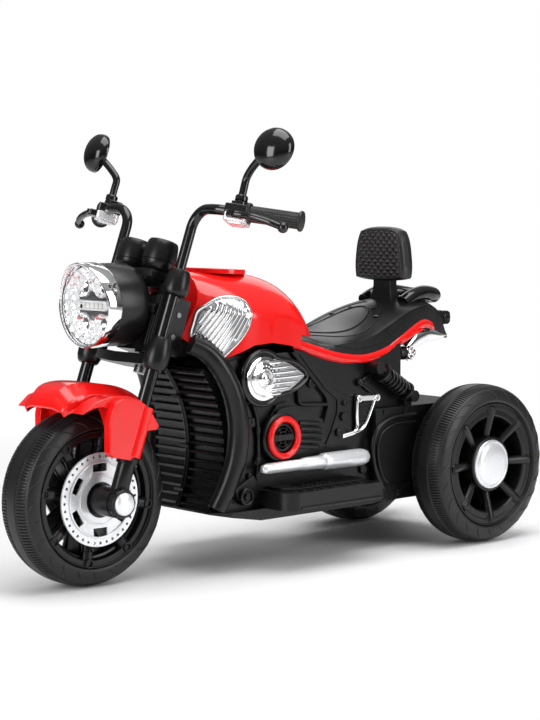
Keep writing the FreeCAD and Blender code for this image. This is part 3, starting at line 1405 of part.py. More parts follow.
def speaker():
    """A loudspeaker on the inner face of the left shell, behind the ring."""
    outer = s.body_half - s.body_wall
    inner = outer - s.speaker_depth
    waist = outer - s.speaker_depth / 3
    frame = rod("SpeakerFrame", s.speaker_radius, waist, outer, "x", s.ring_y, s.ring_z)
    magnet_share = 0.55
    magnet = rod("SpeakerMagnet", s.speaker_radius * magnet_share, inner, waist, "x", s.ring_y, s.ring_z)
    keep(fused("Speaker", frame, magnet), "speaker")


# Tank

def arch_wire(y, half, low, shoulder, top):
    """A flat-bottomed section with upright sides and a round top."""
    corners = [
        Vector(-half, y, low), Vector(half, y, low), Vector(half, y, shoulder), Vector(-half, y, shoulder),
    ]
    edges = [
        Part.LineSegment(corners[0], corners[1]).toShape(),
        Part.LineSegment(corners[1], corners[2]).toShape(),
        Part.Arc(corners[2], Vector(0, y, top), corners[3]).toShape(),
        Part.LineSegment(corners[3], corners[0]).toShape(),
    ]
    return Part.Wire(edges)


def tank_loft(inset, grow=0):
    """The tank's outer form, or its inside when drawn in by an inset."""
    wires = []
    last = len(TANK_SHARES) - 1
    for number, (along, width, shoulder, top) in enumerate(TANK_SHARES):
        y = s.tank_front + s.tank_length * along
        if number == 0:
            y = y + inset
        if number == last:
            y = y - inset
        low = s.tank_base - (inset and s.overrun)
        half = s.tank_half * width - inset + grow
        high = s.tank_base + s.tank_height * top - inset + grow
        side = s.tank_base + s.tank_height * shoulder - inset
        wires.append(arch_wire(y, half, low, side, high))
    return Part.makeLoft(wires, True, False)


def tank_point(along, height):
    return s.tank_front + s.tank_length * along, s.tank_base + s.tank_height * height


def tank_shell():
    edge = [tank_point(along, height) for along, height in TANK_EDGE_SHARES]
    floor = s.tank_base - s.tank_height
    below = polygon_slab(edge + [(edge[-1][0], floor), (edge[0][0], floor)], s.tank_half * 2)
    outer = tank_loft(0).cut(head_room(0))
    inner = tank_loft(s.tank_wall).cut(head_room(s.tank_wall))
    seat = cap_shape(s.cap_disc_radius + s.seat_gap, s.cap_disc_sink)
    keep(solid("TankShell", outer.cut([inner, below, seat])), "tank_shell")


def head_room(wall):
    """The space kept free behind the steering head, with a back face at the fork's rake."""
    wide = 4 * s.tank_half
    back = s.fork_offset + s.clamp_back + s.tank_head_gap + wall
    room = Part.makeBox(wide, wide, wide, Vector(-wide / 2, back - wide, 0))
    room.Placement = raked_placement().multiply(room.Placement)
    return room


def cap_placement():
    top = tank_top_at(s.cap_disc_y)
    turn = FreeCAD.Rotation(Vector(1, 0, 0), -s.cap_disc_slope)
    return FreeCAD.Placement(Vector(0, s.cap_disc_y, top), turn)


def tank_top_at(y):
    """Height of the tank's crown at a place along the bike, read off its stations."""
    along = (y - s.tank_front) / s.tank_length
    for first, second in zip(TANK_SHARES, TANK_SHARES[1:]):
        if first[0] <= along <= second[0]:
            share = (along - first[0]) / (second[0] - first[0])
            return s.tank_base + s.tank_height * (first[3] + (second[3] - first[3]) * share)
    raise ValueError("the cap lies off the tank")


def cap_shape(radius, sink):
    shape = Part.makeCylinder(radius, s.cap_disc_height + sink, Vector(0, 0, -sink))
    shape.Placement = cap_placement().multiply(shape.Placement)
    return shape


def switch_pocket(clear):
    wide = s.switch_width / 2 + clear
    long = s.switch_length / 2 + clear
    floor = s.cap_disc_height - s.switch_depth
    shape = Part.makeBox(2 * wide, 2 * long, s.switch_depth + s.switch_rise, Vector(-wide, -long, floor))
    shape.Placement = cap_placement().multiply(shape.Placement)
    return shape


def tank_cap():
    """The round cap on the tank, raised at its rim, with a recess for the power switch."""
    plate = cap_shape(s.cap_disc_radius, s.cap_disc_sink - s.seat_gap)
    dish = Part.makeCylinder(s.cap_disc_radius - s.cap_rim, s.cap_disc_height,
                             Vector(0, 0, s.cap_disc_height - s.switch_rise))
    dish.Placement = cap_placement().multiply(dish.Placement)
    keep(solid("TankCap", plate.cut(dish).cut(switch_pocket(s.switch_gap))), "tank_cap")


def power_switch():
    """A rocker in the cap's recess, bevelled to both ends so that it can tip."""
    half = s.switch_width / 2
    long = s.switch_length / 2
    base = s.cap_disc_height - s.switch_depth + s.switch_gap
    top = s.cap_disc_height
    ridge = half / 4
    points = [(-half, top - s.switch_rise), (-ridge, top), (ridge, top), (half, top - s.switch_rise),
              (half, base + s.switch_rise), (ridge, base), (-ridge, base), (-half, base + s.switch_rise)]
    corners = [Vector(x, -long, z) for x, z in points]
    shape = Part.Face(Part.makePolygon(corners + corners[:1])).extrude(Vector(0, 2 * long, 0))
    shape.Placement = cap_placement().multiply(shape.Placement)
    keep(solid("PowerSwitch", shape), "power_switch")


def tank_grilles():
    """Plated teardrop grilles on the tank's cheeks, with slanting ribs."""
    outline = [tank_point(along, height) for along, height in GRILLE_SHARES]
    slab = polygon_slab(outline, s.tank_half * 2)
    band = tank_loft(0, s.grille_thickness + s.grille_rib_rise).common(slab).cut(tank_loft(0, s.seat_gap))
    plate = tank_loft(0, s.grille_thickness)
    low_y, low_z = tank_point(*GRILLE_SHARES[-1])
    long = s.tank_height
    grooves = []
    for number in range(int(s.grille_grooves)):
        wide = 2 * s.tank_half
        bar = Part.makeBox(2 * wide, long * 2, s.grille_rib, Vector(-wide, -long, 0))
        turn = FreeCAD.Rotation(Vector(1, 0, 0), s.grille_slant)
        bar.Placement = FreeCAD.Placement(Vector(0, low_y, low_z + s.grille_rib * 2 * number), turn)
        grooves.append(bar)
    whole = band.cut(Part.makeCompound(grooves).common(slab).cut(plate))
    sides = [part for part in whole.Solids if abs(part.CenterOfMass.x) > s.tank_half / 4]
    keep(solid("TankGrilles", Part.makeCompound(sides)), "tank_grilles")


# Seat and tail

def seat_loft(inset, grow=0):
    wires = []
    last = len(SEAT_SHARES) - 1
    for number, (along, width, top) in enumerate(SEAT_SHARES):
        y = s.seat_front + s.seat_length * along
        if number == 0:
            y = y + inset
        if number == last:
            y = y - inset
        low = s.seat_base - s.seat_height / 4
        half = s.seat_half * width - inset + grow
        high = s.seat_base + s.seat_height * top - inset
        side = high - s.seat_crown
        wires.append(arch_wire(y, half, low, side, high))
    return Part.makeLoft(wires, True, False)


def above(line, sink):
    """Everything above a side-view line, which is first moved down by a sink."""
    high = s.seat_base + s.seat_height * 2
    points = [(y, z - sink) for y, z in line]
    return polygon_slab(points + [(points[-1][0], high), (points[0][0], high)], s.seat_half * 2)


def seat():
    """Saddle and seat base, parted along the joint line, with the stripes on the base's sides."""
    whole = seat_loft(0)
    hollow = seat_loft(s.seat_wall)
    low_line = seat_line(SEAT_LOW_SHARES)
    long_line = [(low_line[0][0] - s.overrun, low_line[0][1])] + low_line
    long_line.append((low_line[-1][0] + s.overrun, low_line[-1][1]))
    saddle_line = seat_line(SADDLE_SHARES)
    saddle = whole.common(above(saddle_line, 0))
    inside = above([(y, z + s.seat_wall) for y, z in saddle_line[1:-1]], 0)
    saddle = saddle.cut([hollow.common(inside), tank_loft(0, s.seat_gap)])
    base_line = [(y - s.seat_split_gap, z) for y, z in saddle_line[:1]] + saddle_line[1:-1]
    base_line += [(y + s.seat_split_gap, z) for y, z in saddle_line[-1:]]
    base = whole.common(above(long_line, 0)).cut(above(base_line, s.seat_split_gap))
    cavity = hollow.cut(above(saddle_line, s.seat_wall + s.seat_split_gap))
    base = base.cut(cavity)
    top = seat_line(STRIPE_TOP_SHARES)
    top[0] = (top[0][0] - s.overrun, top[0][1])
    band_low = [point for point in long_line if point[0] < top[-1][0]]
    end_share = 0.465
    end = seat_point(STRIPE_TOP_SHARES[-1][0], end_share)
    outline = band_low + [end] + top[::-1]
    middle = polygon_slab(outline, s.seat_half / 2)
    band = polygon_slab(outline, s.seat_half * 2).cut(middle)
    sides = seat_loft(0, s.stripe_thickness).common(band).cut(seat_loft(0, s.seat_split_gap)).Solids
    keep(solid("SeatBase", base), "seat_base")
    keep(solid("SeatSaddle", saddle), "seat_saddle")
    keep(solid("SeatStripes", Part.makeCompound(sides)), "seat_stripes")


def tail_trim():
    """The plated piece under the tail, its top following the tail's underside."""
    upper = [(y, z - s.seat_gap) for y, z in seat_line(SEAT_LOW_SHARES[6:9])]
    outline = upper + seat_line(TRIM_SHARES)
    keep(solid("TailTrim", polygon_slab(outline, s.trim_half)), "tail_trim")


def tail_lamps():
    """A round lamp on each side of the tail, facing back."""
    x, y, z = s.tail_lamp_x, s.tail_lamp_y, s.tail_lamp_z
    shell = rod("TailLampShell", s.tail_lamp_radius, y - s.tail_lamp_depth, y, "y", x, z)
    radius = s.tail_lamp_radius / 2
    stub = rod("TailLampStub", radius, s.trim_half + s.seat_gap, x, "x", y + radius, z)
    keep(pair("TailLamps", shell), "tail_lamps")
    lens = rod("TailLens", s.tail_lamp_radius - s.stripe_thickness / 2, y, y + s.tail_lens_depth, "y", x, z)
    keep(pair("TailLenses", fused("TailLensAndStub", lens, stub)), "tail_lenses")


def grab_rail():
    """The bent hand rail behind the saddle, and the drilled bracket at the end of the tail."""
    half, z = s.rail_half, s.rail_z
    draw_share = 0.9
    rise = z + s.rail_rise
    corners = [
        Vector(half, s.rail_front, z - s.rail_rise), Vector(half, s.rail_front + s.rail_bend, rise),
        Vector(half * draw_share, s.rail_back, rise), Vector(-half * draw_share, s.rail_back, rise),
        Vector(-half, s.rail_front + s.rail_bend, rise), Vector(-half, s.rail_front, z - s.rail_rise),
    ]
    bend = s.rail_bend / 2
    rail = tube(rounded_path(corners, [bend, bend, bend, bend]), s.rail_radius).cut(seat_loft(0, s.seat_gap))
    rail = max(rail.Solids, key=lambda part: part.Volume)
    low = s.bracket_z - s.bracket_height / 2
    plate = Part.makeBox(2 * s.bracket_half, s.bracket_back - s.bracket_front, s.bracket_height,
                         Vector(-s.bracket_half, s.bracket_front, low))
    hole = Part.makeCylinder(s.bracket_bore, 4 * s.bracket_half,
                             Vector(-2 * s.bracket_half, s.bracket_back - s.bracket_bore_inset, s.bracket_z),
                             Vector(1, 0, 0))
    plate = plate.cut([hole, seat_loft(0, s.seat_gap)])
    plate = max(plate.Solids, key=lambda part: part.CenterOfMass.y)
    keep(solid("GrabRail", Part.makeCompound([rail, plate])), "grab_rail")


def backrest():
    """The post on the saddle and the quilted back pad on its top."""
    low = s.post_foot
    top = s.pad_low - s.pad_corner * PAD_BOW_SHARES[0] - s.seat_gap
    post = Part.makeBox(2 * s.post_half, s.post_depth, top - low,
                        Vector(-s.post_half, s.post_y, low))
    post = post.cut(seat_loft(0, 0))
    post = max(post.Solids, key=lambda part: part.CenterOfMass.z)
    keep(solid("BackrestPost", post), "backrest_post")
    keep(solid("BackrestPad", pad_shape()), "backrest_pad")


def pad_wire(y, draw):
    """A rounded trapezoid across the bike at a depth, drawn in from the full outline."""
    low_half = s.pad_low_half - draw
    top_half = s.pad_top_half - draw
    low = s.pad_low + draw
    top = s.pad_top - draw
    corner = s.pad_corner
    points = [
        Vector(-low_half + corner, y, low), Vector(low_half - corner, y, low),
        Vector(low_half, y, low + corner), Vector(top_half, y, top - corner),
        Vector(top_half - corner, y, top), Vector(-top_half + corner, y, top),
        Vector(-top_half, y, top - corner), Vector(-low_half, y, low + corner),
    ]
    centre = Vector(0, y, (low + top) / 2)
    edges = []
    for number, start in enumerate(points):
        end = points[(number + 1) % len(points)]
        middle = (start + end) / 2
        outward = (middle - centre).normalize()
        bowed = middle + outward * (corner * PAD_BOW_SHARES[number % len(PAD_BOW_SHARES)])
        edges.append(Part.Arc(start, bowed, end).toShape())
    return Part.Wire(edges)


def pad_shape():
    """The pad's crowned form, with crossed quilting channels in its front face."""
    front = s.pad_front
    back = front + s.pad_depth
    crown = s.pad_crown
    wires = [
        pad_wire(front, crown * 2), pad_wire(front + crown / 2, crown), pad_wire(front + crown * 2, 0),
        pad_wire(back - crown, 0), pad_wire(back, crown),
    ]
    whole = Part.makeLoft(wires, True, True)
    middle = Vector(0, front, (s.pad_low + s.pad_top) / 2)
    long = s.pad_top - s.pad_low
    channels = []
    for slant in (-s.quilt_slant, s.quilt_slant):
        for number in range(-int(s.quilt_lines), int(s.quilt_lines) + 1):
            shift = s.quilt_pitch * number - s.quilt_cut / 2
            bar = Part.makeBox(2 * long, 2 * s.quilt_cut, s.quilt_cut, Vector(-long, -s.quilt_cut, shift))
            bar.Placement = FreeCAD.Placement(middle, FreeCAD.Rotation(Vector(0, 1, 0), slant))
            channels.append(bar)
    return whole.cut(channels)


# Trim on the sides of the body

def air_cleaners():
    """Plated covers: a round dished plate with a ribbed tail, on the air cleaner's seat."""
    body = body_named("CleanerCover")
    face = s.body_half + s.cleaner_rise
    inner = s.cleaner_radius - s.cleaner_cover
    tail = s.cleaner_tail - s.cleaner_cover
    pad(body, sketch(body, "YZ_Plane", [teardrop(inner, tail)], offset=face), s.cleaner_cover_rise)
    disc = [(s.cleaner_y, s.cleaner_z, s.cleaner_disc)]
    pad(body, sketch(body, "YZ_Plane", circles=disc, offset=face), s.cleaner_cover)
    start = s.cleaner_y + s.cleaner_disc + s.cleaner_rib
    stop = s.cleaner_y + tail - s.cleaner_rib
    ribs = []
    step = s.cleaner_rib * 2
    for number in range(int(s.cleaner_rib_count)):
        up = s.cleaner_z + step * (number - (int(s.cleaner_rib_count) - 1) / 2)
        end = stop - step * abs(number - (int(s.cleaner_rib_count) - 1) / 2)
        half = s.cleaner_rib / 2
        near = start - step
        ribs.append([(near, up - half), (end, up - half), (end, up + half), (near, up + half)])
    pad(body, sketch(body, "YZ_Plane", ribs, offset=face), s.cleaner_cover - s.cleaner_cover_rise / 2)
    keep(pair("AirCleaners", body), "air_cleaners")


def engine_rings():
    """Coloured rings on the barrels."""
    ring = doc.addObject("Part::Torus", "EngineRing")
    bind(ring, "Radius1", s.ring_radius)
    bind(ring, "Radius2", s.ring_tube)
    place(ring, s.body_half + s.barrel_rise + s.ring_tube, s.ring_y, s.ring_z, (0, 1, 0), 90)
    keep(pair("EngineRings", ring), "engine_rings")


def exhausts():
    """A thin pipe into a fatter silencer along each side, on two pegs from the body."""
    x, z = s.pipe_x, s.pipe_z
    thin = rod("ExhaustPipe", s.pipe_radius, s.pipe_front, s.muffler_front, "y", x, z)
    fat = rod("Silencer", s.muffler_radius, s.muffler_front, s.muffler_back, "y", x, z)
    pegs = []
    for number, at in enumerate((s.pipe_front + s.pipe_peg_inset, s.muffler_back - s.pipe_peg_inset)):
        near = s.body_half + s.seat_gap
        pegs.append(rod(f"ExhaustPeg{number}", s.pipe_peg_radius, near, x, "x", at, z))
    tip = rod("SilencerBore", s.muffler_radius - s.lamp_wall, s.muffler_back - s.pipe_peg_inset / 2,
              s.muffler_back + s.overrun, "y", x, z)
    keep(pair("Exhausts", cut("Exhaust", fused("ExhaustSolid", thin, fat, *pegs), tip)), "exhausts")


def peg_brackets():
    """Plated brackets on the frame strut: a bar with two legs and a foot."""
    body = body_named("PegBracket")
    y, z = s.peg_y, s.peg_z
    bar = s.peg_bar
    low = z - s.peg_leg
    face = s.body_half + s.seat_gap
    pad(body, sketch(body, "YZ_Plane", [[
        (y, z - bar), (y + s.peg_length, z - bar), (y + s.peg_length, z), (y, z),
    ]], offset=face), s.peg_rise)
    pad(body, sketch(body, "YZ_Plane", [[
        (y + bar, z - bar + s.overrun), (y + bar * 2 + bar / 2, z - bar + s.overrun), (y + bar * 2, low),
        (y - s.peg_foot, low - bar / 2), (y - s.peg_foot, low + bar / 2), (y + bar, low + bar),
    ]], offset=face), s.peg_rise)
    over = s.body_half + s.strut_rise + s.seat_gap
    pocket(body, sketch(body, "YZ_Plane", [strut_outline()], offset=over), s.strut_rise + s.overrun)
    keep(pair("PegBrackets", body), "peg_brackets")


# Shock absorbers

def shock_line():
    top = Vector(s.shock_x, s.shock_top_y, s.shock_top_z)
    low = Vector(s.shock_x, s.shock_low_y, s.shock_low_z)
    return top, low


def coil(start, heading, length):
    """One unbroken coil of wire between two points along a heading, from quarter-turn arcs."""
    turns = int(s.spring_turns)
    quarters = turns * 4
    radius = float(s.spring_radius)
    rise = float(length) / quarters

    def at(step):
        angle = math.pi / 2 * step
        return Vector(radius * math.cos(angle), radius * math.sin(angle), rise * step)

    edges = [Part.Arc(at(step), at(step + 0.5), at(step + 1)).toShape() for step in range(quarters)]
    wire = Part.Wire(edges)
    ring = Part.Wire([Part.Circle(at(0), wire.Edges[0].tangentAt(0), float(s.spring_wire)).toShape()])
    shape = wire.makePipeShell([ring], True, False)
    spots = [(step, step + 4 + shift / 10) for step in range(quarters - 4) for shift in range(-9, 10)]
    gap = min(at(first).distanceToPoint(at(second)) for first, second in spots)
    print("spring turns: least gap", round(gap - 2 * float(s.spring_wire), 2), "mm")
    shape.Placement = FreeCAD.Placement(start, FreeCAD.Rotation(Vector(0, 0, 1), heading))
    return shape


def shock_absorbers():
    """Damper rods between two eyes, each with a coil spring between its caps."""
    top, low = shock_line()
    heading = (low - top).normalize()
    length = top.distanceToPoint(low)
    across = Vector(1, 0, 0)
    cap = float(s.shock_cap_height)
    eye_half = float(s.shock_x - s.body_half - s.seat_gap)
    inset = float(s.shock_eye + s.shock_eye_inset)
    rod_shape = Part.makeCylinder(s.shock_rod, length, top, heading)
    upper = Part.makeCylinder(s.shock_cap, cap, top + heading * inset, heading)
    lower = Part.makeCylinder(s.shock_cap, cap, low - heading * (inset + cap), heading)
    out = s.shock_rod + s.overrun
    upper_eye = Part.makeCylinder(s.shock_eye, eye_half + out, top - across * eye_half, across)
    damper = rod_shape.fuse([upper, lower, upper_eye])
    wire = float(s.spring_wire)
    start = top + heading * (inset + cap + wire + s.seat_gap)
    room = length - 2 * (inset + cap + wire + s.seat_gap)
    spring = coil(start, heading, room)
    foot_low = s.housing_top + s.seat_gap
    near = s.body_half + s.seat_gap
    foot = Part.makeBox(s.housing_half - near, 2 * s.shock_rod, low.z - foot_low,
                        Vector(near, low.y - s.shock_rod, foot_low))
    lower_eye = Part.makeCylinder(s.shock_eye, s.shock_x + out - near, Vector(near, low.y, low.z), across)
    damper = damper.fuse([foot, lower_eye]).removeSplitter()
    pieces = [damper, spring]
    twins = [piece.mirror(Vector(0, 0, 0), across) for piece in pieces]
    keep(solid("ShockAbsorbers", Part.makeCompound(pieces + twins)), "shock_absorbers")


# Pedal and fasteners

def pedal_place():
    x = (s.pipe_x + s.muffler_radius + s.board_half) / 2
    y = s.board_front + s.board_corner + s.pedal_length + s.pedal_inset
    return -x, y, s.board_top + s.seat_gap + s.pedal_thickness


def accelerator_pedal():
    """The foot pedal on the right board, hinged at its back edge and raised at the front."""
    half = s.pedal_width / 2
    lift = s.pedal_thickness
    plate = Part.makeBox(2 * half, s.pedal_length, lift / 2, Vector(-half, -s.pedal_length, lift / 2))
    barrel = Part.makeCylinder(lift, 2 * half, Vector(-half, 0, 0), Vector(1, 0, 0))
    pin = s.pedal_pin_radius + s.running_fit
    hole = Part.makeCylinder(pin, 4 * half, Vector(-2 * half, 0, 0), Vector(1, 0, 0))
    shape = plate.fuse(barrel).cut(hole).removeSplitter()
    turn = FreeCAD.Rotation(Vector(1, 0, 0), -s.pedal_tilt)
    shape.Placement = FreeCAD.Placement(Vector(*pedal_place()), turn)
    keep(solid("AcceleratorPedal", shape), "accelerator_pedal")


def body_screws():
    """Screw heads on the saddle, the steering head and the struts."""
    heads = []
    for sign in (-1, 1):
        x = s.seat_screw_half * sign
        top = saddle_top_at(x, s.seat_screw_y)
        head = Part.makeCylinder(s.screw_radius, s.screw_head, Vector(x, s.seat_screw_y, top + s.seat_gap))
        heads.append(head.cut(seat_loft(0, 0)))
        for share in HEAD_SCREW_SHARES:
            at = s.head_low + (s.head_top - s.head_low) * share
            spot = Vector(s.head_half * sign, s.fork_offset, at)
            head = Part.makeCylinder(s.head_screw_radius, s.head_screw_height, spot, Vector(sign, 0, 0))
            head.Placement = raked_placement().multiply(head.Placement)
            heads.append(head)
    keep(solid("BodyScrews", Part.makeCompound(heads)), "body_screws")


def saddle_top_at(x, y):
    """Height of the saddle's top over a place, found by dropping a line onto its form."""
    high = s.seat_base + s.seat_height * 2
    line = Part.LineSegment(Vector(x, y, s.seat_base), Vector(x, y, high)).toShape()
    return max(corner.Z for corner in line.common(seat_loft(0)).Vertexes)


# The whole bike

front_wheel()
brake_discs()
rear_wheels()
fork_sliders()
fork_tubes()
fork_clamps()
steering_stem()
front_axle()
handlebars()
grips()
control_pods()
levers()
mirrors()
horn_button()
gauge_pods()
headlamp()
front_mudguard()
steering_head()
radiator()
frame_tubes()
lower_tray()
body_shells()
footboards()
axle_housing()
rear_axle()
drive_gear()
motor_pinion()
drive_motor()
battery()
speaker()
tank_shell()
tank_cap()
power_switch()
tank_grilles()
seat()
tail_trim()
tail_lamps()
grab_rail()
backrest()
air_cleaners()
engine_rings()
exhausts()
peg_brackets()
shock_absorbers()
accelerator_pedal()
body_screws()

doc.recompute()
for thing in doc.Objects:
    if "Invalid" in thing.State or "Error" in thing.State:
        raise RuntimeError(f"{thing.Label} failed: {thing.State}")
for node, thing in nodes.items():
    if thing.Shape.isNull() or not thing.Shape.isValid() or not thing.Shape.Solids:
        raise RuntimeError(f"{node} has no sound solid")
os.makedirs("parts", exist_ok=True)
for node, thing in nodes.items():
    thing.Shape.exportStep(f"parts/{node}.step")
print(len(nodes), "sub-parts written")
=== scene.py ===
import json
from math import cos, sin, pi, radians, hypot
import bpy
import bmesh
from mathutils import Matrix, Vector
from mathutils.bvhtree import BVHTree

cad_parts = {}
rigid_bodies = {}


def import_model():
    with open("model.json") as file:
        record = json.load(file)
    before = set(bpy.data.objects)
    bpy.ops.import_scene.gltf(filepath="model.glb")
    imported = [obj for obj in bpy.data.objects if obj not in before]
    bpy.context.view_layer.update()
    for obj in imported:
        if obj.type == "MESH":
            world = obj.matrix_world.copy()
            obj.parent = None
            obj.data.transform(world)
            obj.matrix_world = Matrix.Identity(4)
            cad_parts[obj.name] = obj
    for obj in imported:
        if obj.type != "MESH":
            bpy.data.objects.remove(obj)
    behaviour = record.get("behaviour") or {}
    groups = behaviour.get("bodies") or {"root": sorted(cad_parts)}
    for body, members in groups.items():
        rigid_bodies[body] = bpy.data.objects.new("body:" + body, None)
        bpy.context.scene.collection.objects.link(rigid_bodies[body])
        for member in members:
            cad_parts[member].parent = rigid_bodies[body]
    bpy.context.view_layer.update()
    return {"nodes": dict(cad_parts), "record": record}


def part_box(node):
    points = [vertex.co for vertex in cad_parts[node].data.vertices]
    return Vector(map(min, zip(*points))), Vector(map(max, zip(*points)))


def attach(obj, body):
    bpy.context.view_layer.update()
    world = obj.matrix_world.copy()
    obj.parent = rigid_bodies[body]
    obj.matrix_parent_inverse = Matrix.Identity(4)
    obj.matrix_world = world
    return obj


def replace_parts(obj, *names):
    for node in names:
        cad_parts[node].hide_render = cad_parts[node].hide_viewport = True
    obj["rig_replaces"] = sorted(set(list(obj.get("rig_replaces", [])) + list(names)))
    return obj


# Looks of the child's motorbike, in the CAD frame: +Z up, faces -Y, rider's left +X.
# Forms are gathered in millimetres and made in metres.
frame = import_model()
scene = bpy.context.scene
BODY_OF = {node: body for body, group in frame["record"]["behaviour"]["bodies"].items() for node in group}
SLOT_OF = {row["node"]: row["material_slot"] for row in frame["record"]["subparts"]}
MM = 0.001
# Degrees from which an edge stays sharp, and the small radius or share that stands for a closed end
SHARP = 32
TIP = 0.001
# Wheel centres and the fork's rake
FRONT_Y, REAR_Y, REAR_X, AXLE_Z = -335, 335, 137.5, 125
RAKE_ANGLE = radians(-20)


# Materials

class Nodes:
    """A short way to add and join shader nodes of one material or world."""

    def __init__(self, tree):
        self.tree = tree

    def add(self, kind, inputs=None, **settings):
        node = self.tree.nodes.new("ShaderNode" + kind)
        for name, value in settings.items():
            setattr(node, name, value)
        for name, value in (inputs or {}).items():
            socket = node.inputs[name]
            if isinstance(value, bpy.types.NodeSocket):
                self.tree.links.new(value, socket)
            else:
                socket.default_value = value
        return node

    def noise(self, scale, detail=2.0, stretch=None):
        coord = self.add("TexCoord").outputs["Object"]
        if stretch:
            coord = self.add("Mapping", {"Vector": coord, "Scale": stretch}).outputs[0]
        return self.add("TexNoise", {"Vector": coord, "Scale": scale, "Detail": detail}).outputs[0]

    def span(self, value, low, high, first=0.3, last=0.7):
        inputs = {"Value": value, "From Min": first, "From Max": last, "To Min": low, "To Max": high}
        return self.add("MapRange", inputs).outputs[0]

    def math(self, operation, first, second):
        return self.add("Math", {0: first, 1: second}, operation=operation).outputs[0]

    def seen(self):
        """1 for a ray from the camera or through glass, and 0 for any other."""
        ray = self.add("LightPath").outputs
        return self.math("MAXIMUM", ray["Is Camera Ray"], ray["Is Transmission Ray"])


FINISH = {}
BROAD_SCALE, BROAD_DETAIL = 14, 3.0
ROUGH_SPREAD, BUMP_DEPTH = 0.15, 0.0004


def material(name, colour, rough, spread, grain, bump, metal=0.0, stretch=None, **extra):
    """A moulded or plated finish: broad shifts of colour, fine grain in the roughness and the bump."""
    made = bpy.data.materials.new(name)
    made.use_nodes = True
    kit = Nodes(made.node_tree)
    links = made.node_tree.links
    shader = made.node_tree.nodes["Principled BSDF"]
    shader.inputs["Metallic"].default_value = metal
    for socket, value in extra.items():
        shader.inputs[socket.replace("_", " ")].default_value = value
    dark = [channel * (1 - spread) for channel in colour] + [1]
    light = [min(1.0, channel * (1 + spread)) for channel in colour] + [1]
    broad = kit.span(kit.noise(BROAD_SCALE, BROAD_DETAIL), 0, 1)
    mix = kit.add("Mix", {"Factor": broad, "A": dark, "B": light}, data_type="RGBA")
    links.new(mix.outputs["Result"], shader.inputs["Base Color"])
    fine = kit.noise(grain, 2.0, stretch)
    roughness = kit.span(fine, rough * (1 - ROUGH_SPREAD), rough * (1 + ROUGH_SPREAD))
    links.new(roughness, shader.inputs["Roughness"])
    if bump:
        inputs = {"Height": fine, "Strength": bump, "Distance": BUMP_DEPTH}
        links.new(kit.add("Bump", inputs).outputs[0], shader.inputs["Normal"])
    FINISH[name] = made


material("black_plastic", (0.0048, 0.0048, 0.0054), 0.30, 0.2, 1500, 0.08, Specular_IOR_Level=0.33)
material("black_gloss", (0.0045, 0.0045, 0.0052), 0.13, 0.15, 500, 0.0)
material("red_gloss", (0.80, 0.0085, 0.0075), 0.15, 0.03, 300, 0.0)
material("plated", (0.88, 0.88, 0.89), 0.06, 0.03, 400, 0.0, 1.0)
material("silver", (0.80, 0.81, 0.83), 0.25, 0.05, 1600, 0.02, 0.5)
material("tyre", (0.0065, 0.0065, 0.0072), 0.40, 0.2, 1100, 0.08, Specular_IOR_Level=0.42)
material("soft_grip", (0.0075, 0.0075, 0.008), 0.45, 0.2, 1300, 0.12)
material("padding", (0.008, 0.008, 0.009), 0.38, 0.2, 1700, 0.25)
material("clear", (0.97, 0.98, 0.98), 0.03, 0.01, 200, 0.0, Transmission_Weight=1.0, IOR=1.46)
material("red_lens", (0.62, 0.008, 0.010), 0.10, 0.08, 300, 0.0, Transmission_Weight=0.25, Coat_Weight=0.4)
material("steel", (0.20, 0.20, 0.21), 0.30, 0.08, 1200, 0.04, 1.0, (1, 1, 8))
material("gear_nylon", (0.80, 0.79, 0.74), 0.45, 0.05, 900, 0.04)
material("battery_case", (0.05, 0.05, 0.06), 0.5, 0.15, 1200, 0.08)


# Mesh helpers

def linked(name, data):
    made = bpy.data.objects.new(name, data)
    scene.collection.objects.link(made)
    return made


def finished(made, body, slot, node=None):
    """Gives a piece its finish and its body, and says which CAD node it stands for."""
    made.data.materials.clear()
    made.data.materials.append(FINISH[slot])
    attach(made, body)
    if node:
        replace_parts(made, node)
    return made


def rounded(made, width):
    bevel = made.modifiers.new("edges", "BEVEL")
    bevel.width = width
    bevel.segments = 2
    bevel.limit_method = "ANGLE"
    bevel.angle_limit = radians(SHARP)
    bevel.harden_normals = True


def smoothed(name, mesh, shape, angle=SHARP):
    """An object with the form of a bmesh, shaded smooth but for its sharp edges."""
    for face in shape.faces:
        face.smooth = True
    shape.to_mesh(mesh)
    shape.free()
    mesh.set_sharp_from_angle(angle=radians(angle))
    return linked(name, mesh)


def dress(node, width):
    """A copy of a CAD node's own form with its edges broken, so that they catch the light."""
    name = node + "_form"
    shape = bmesh.new()
    shape.from_mesh(frame["nodes"][node].data)
    bmesh.ops.remove_doubles(shape, verts=shape.verts, dist=0.00002)
    bmesh.ops.dissolve_limit(shape, angle_limit=radians(0.1), verts=shape.verts, edges=shape.edges)
    made = smoothed(name, bpy.data.meshes.new(name), shape)
    rounded(made, width)
    finished(made, BODY_OF[node], SLOT_OF[node], node)


def turns(count):
    """Angles in equal steps round a circle."""
    return [2 * pi * step / count for step in range(count)]


def hexagon(size):
    return [(size * cos(pi * n / 3), size * sin(pi * n / 3)) for n in range(6)]


def oblong(x0, y0, x1, y1):
    return [(x0, y0), (x1, y0), (x1, y1), (x0, y1)]


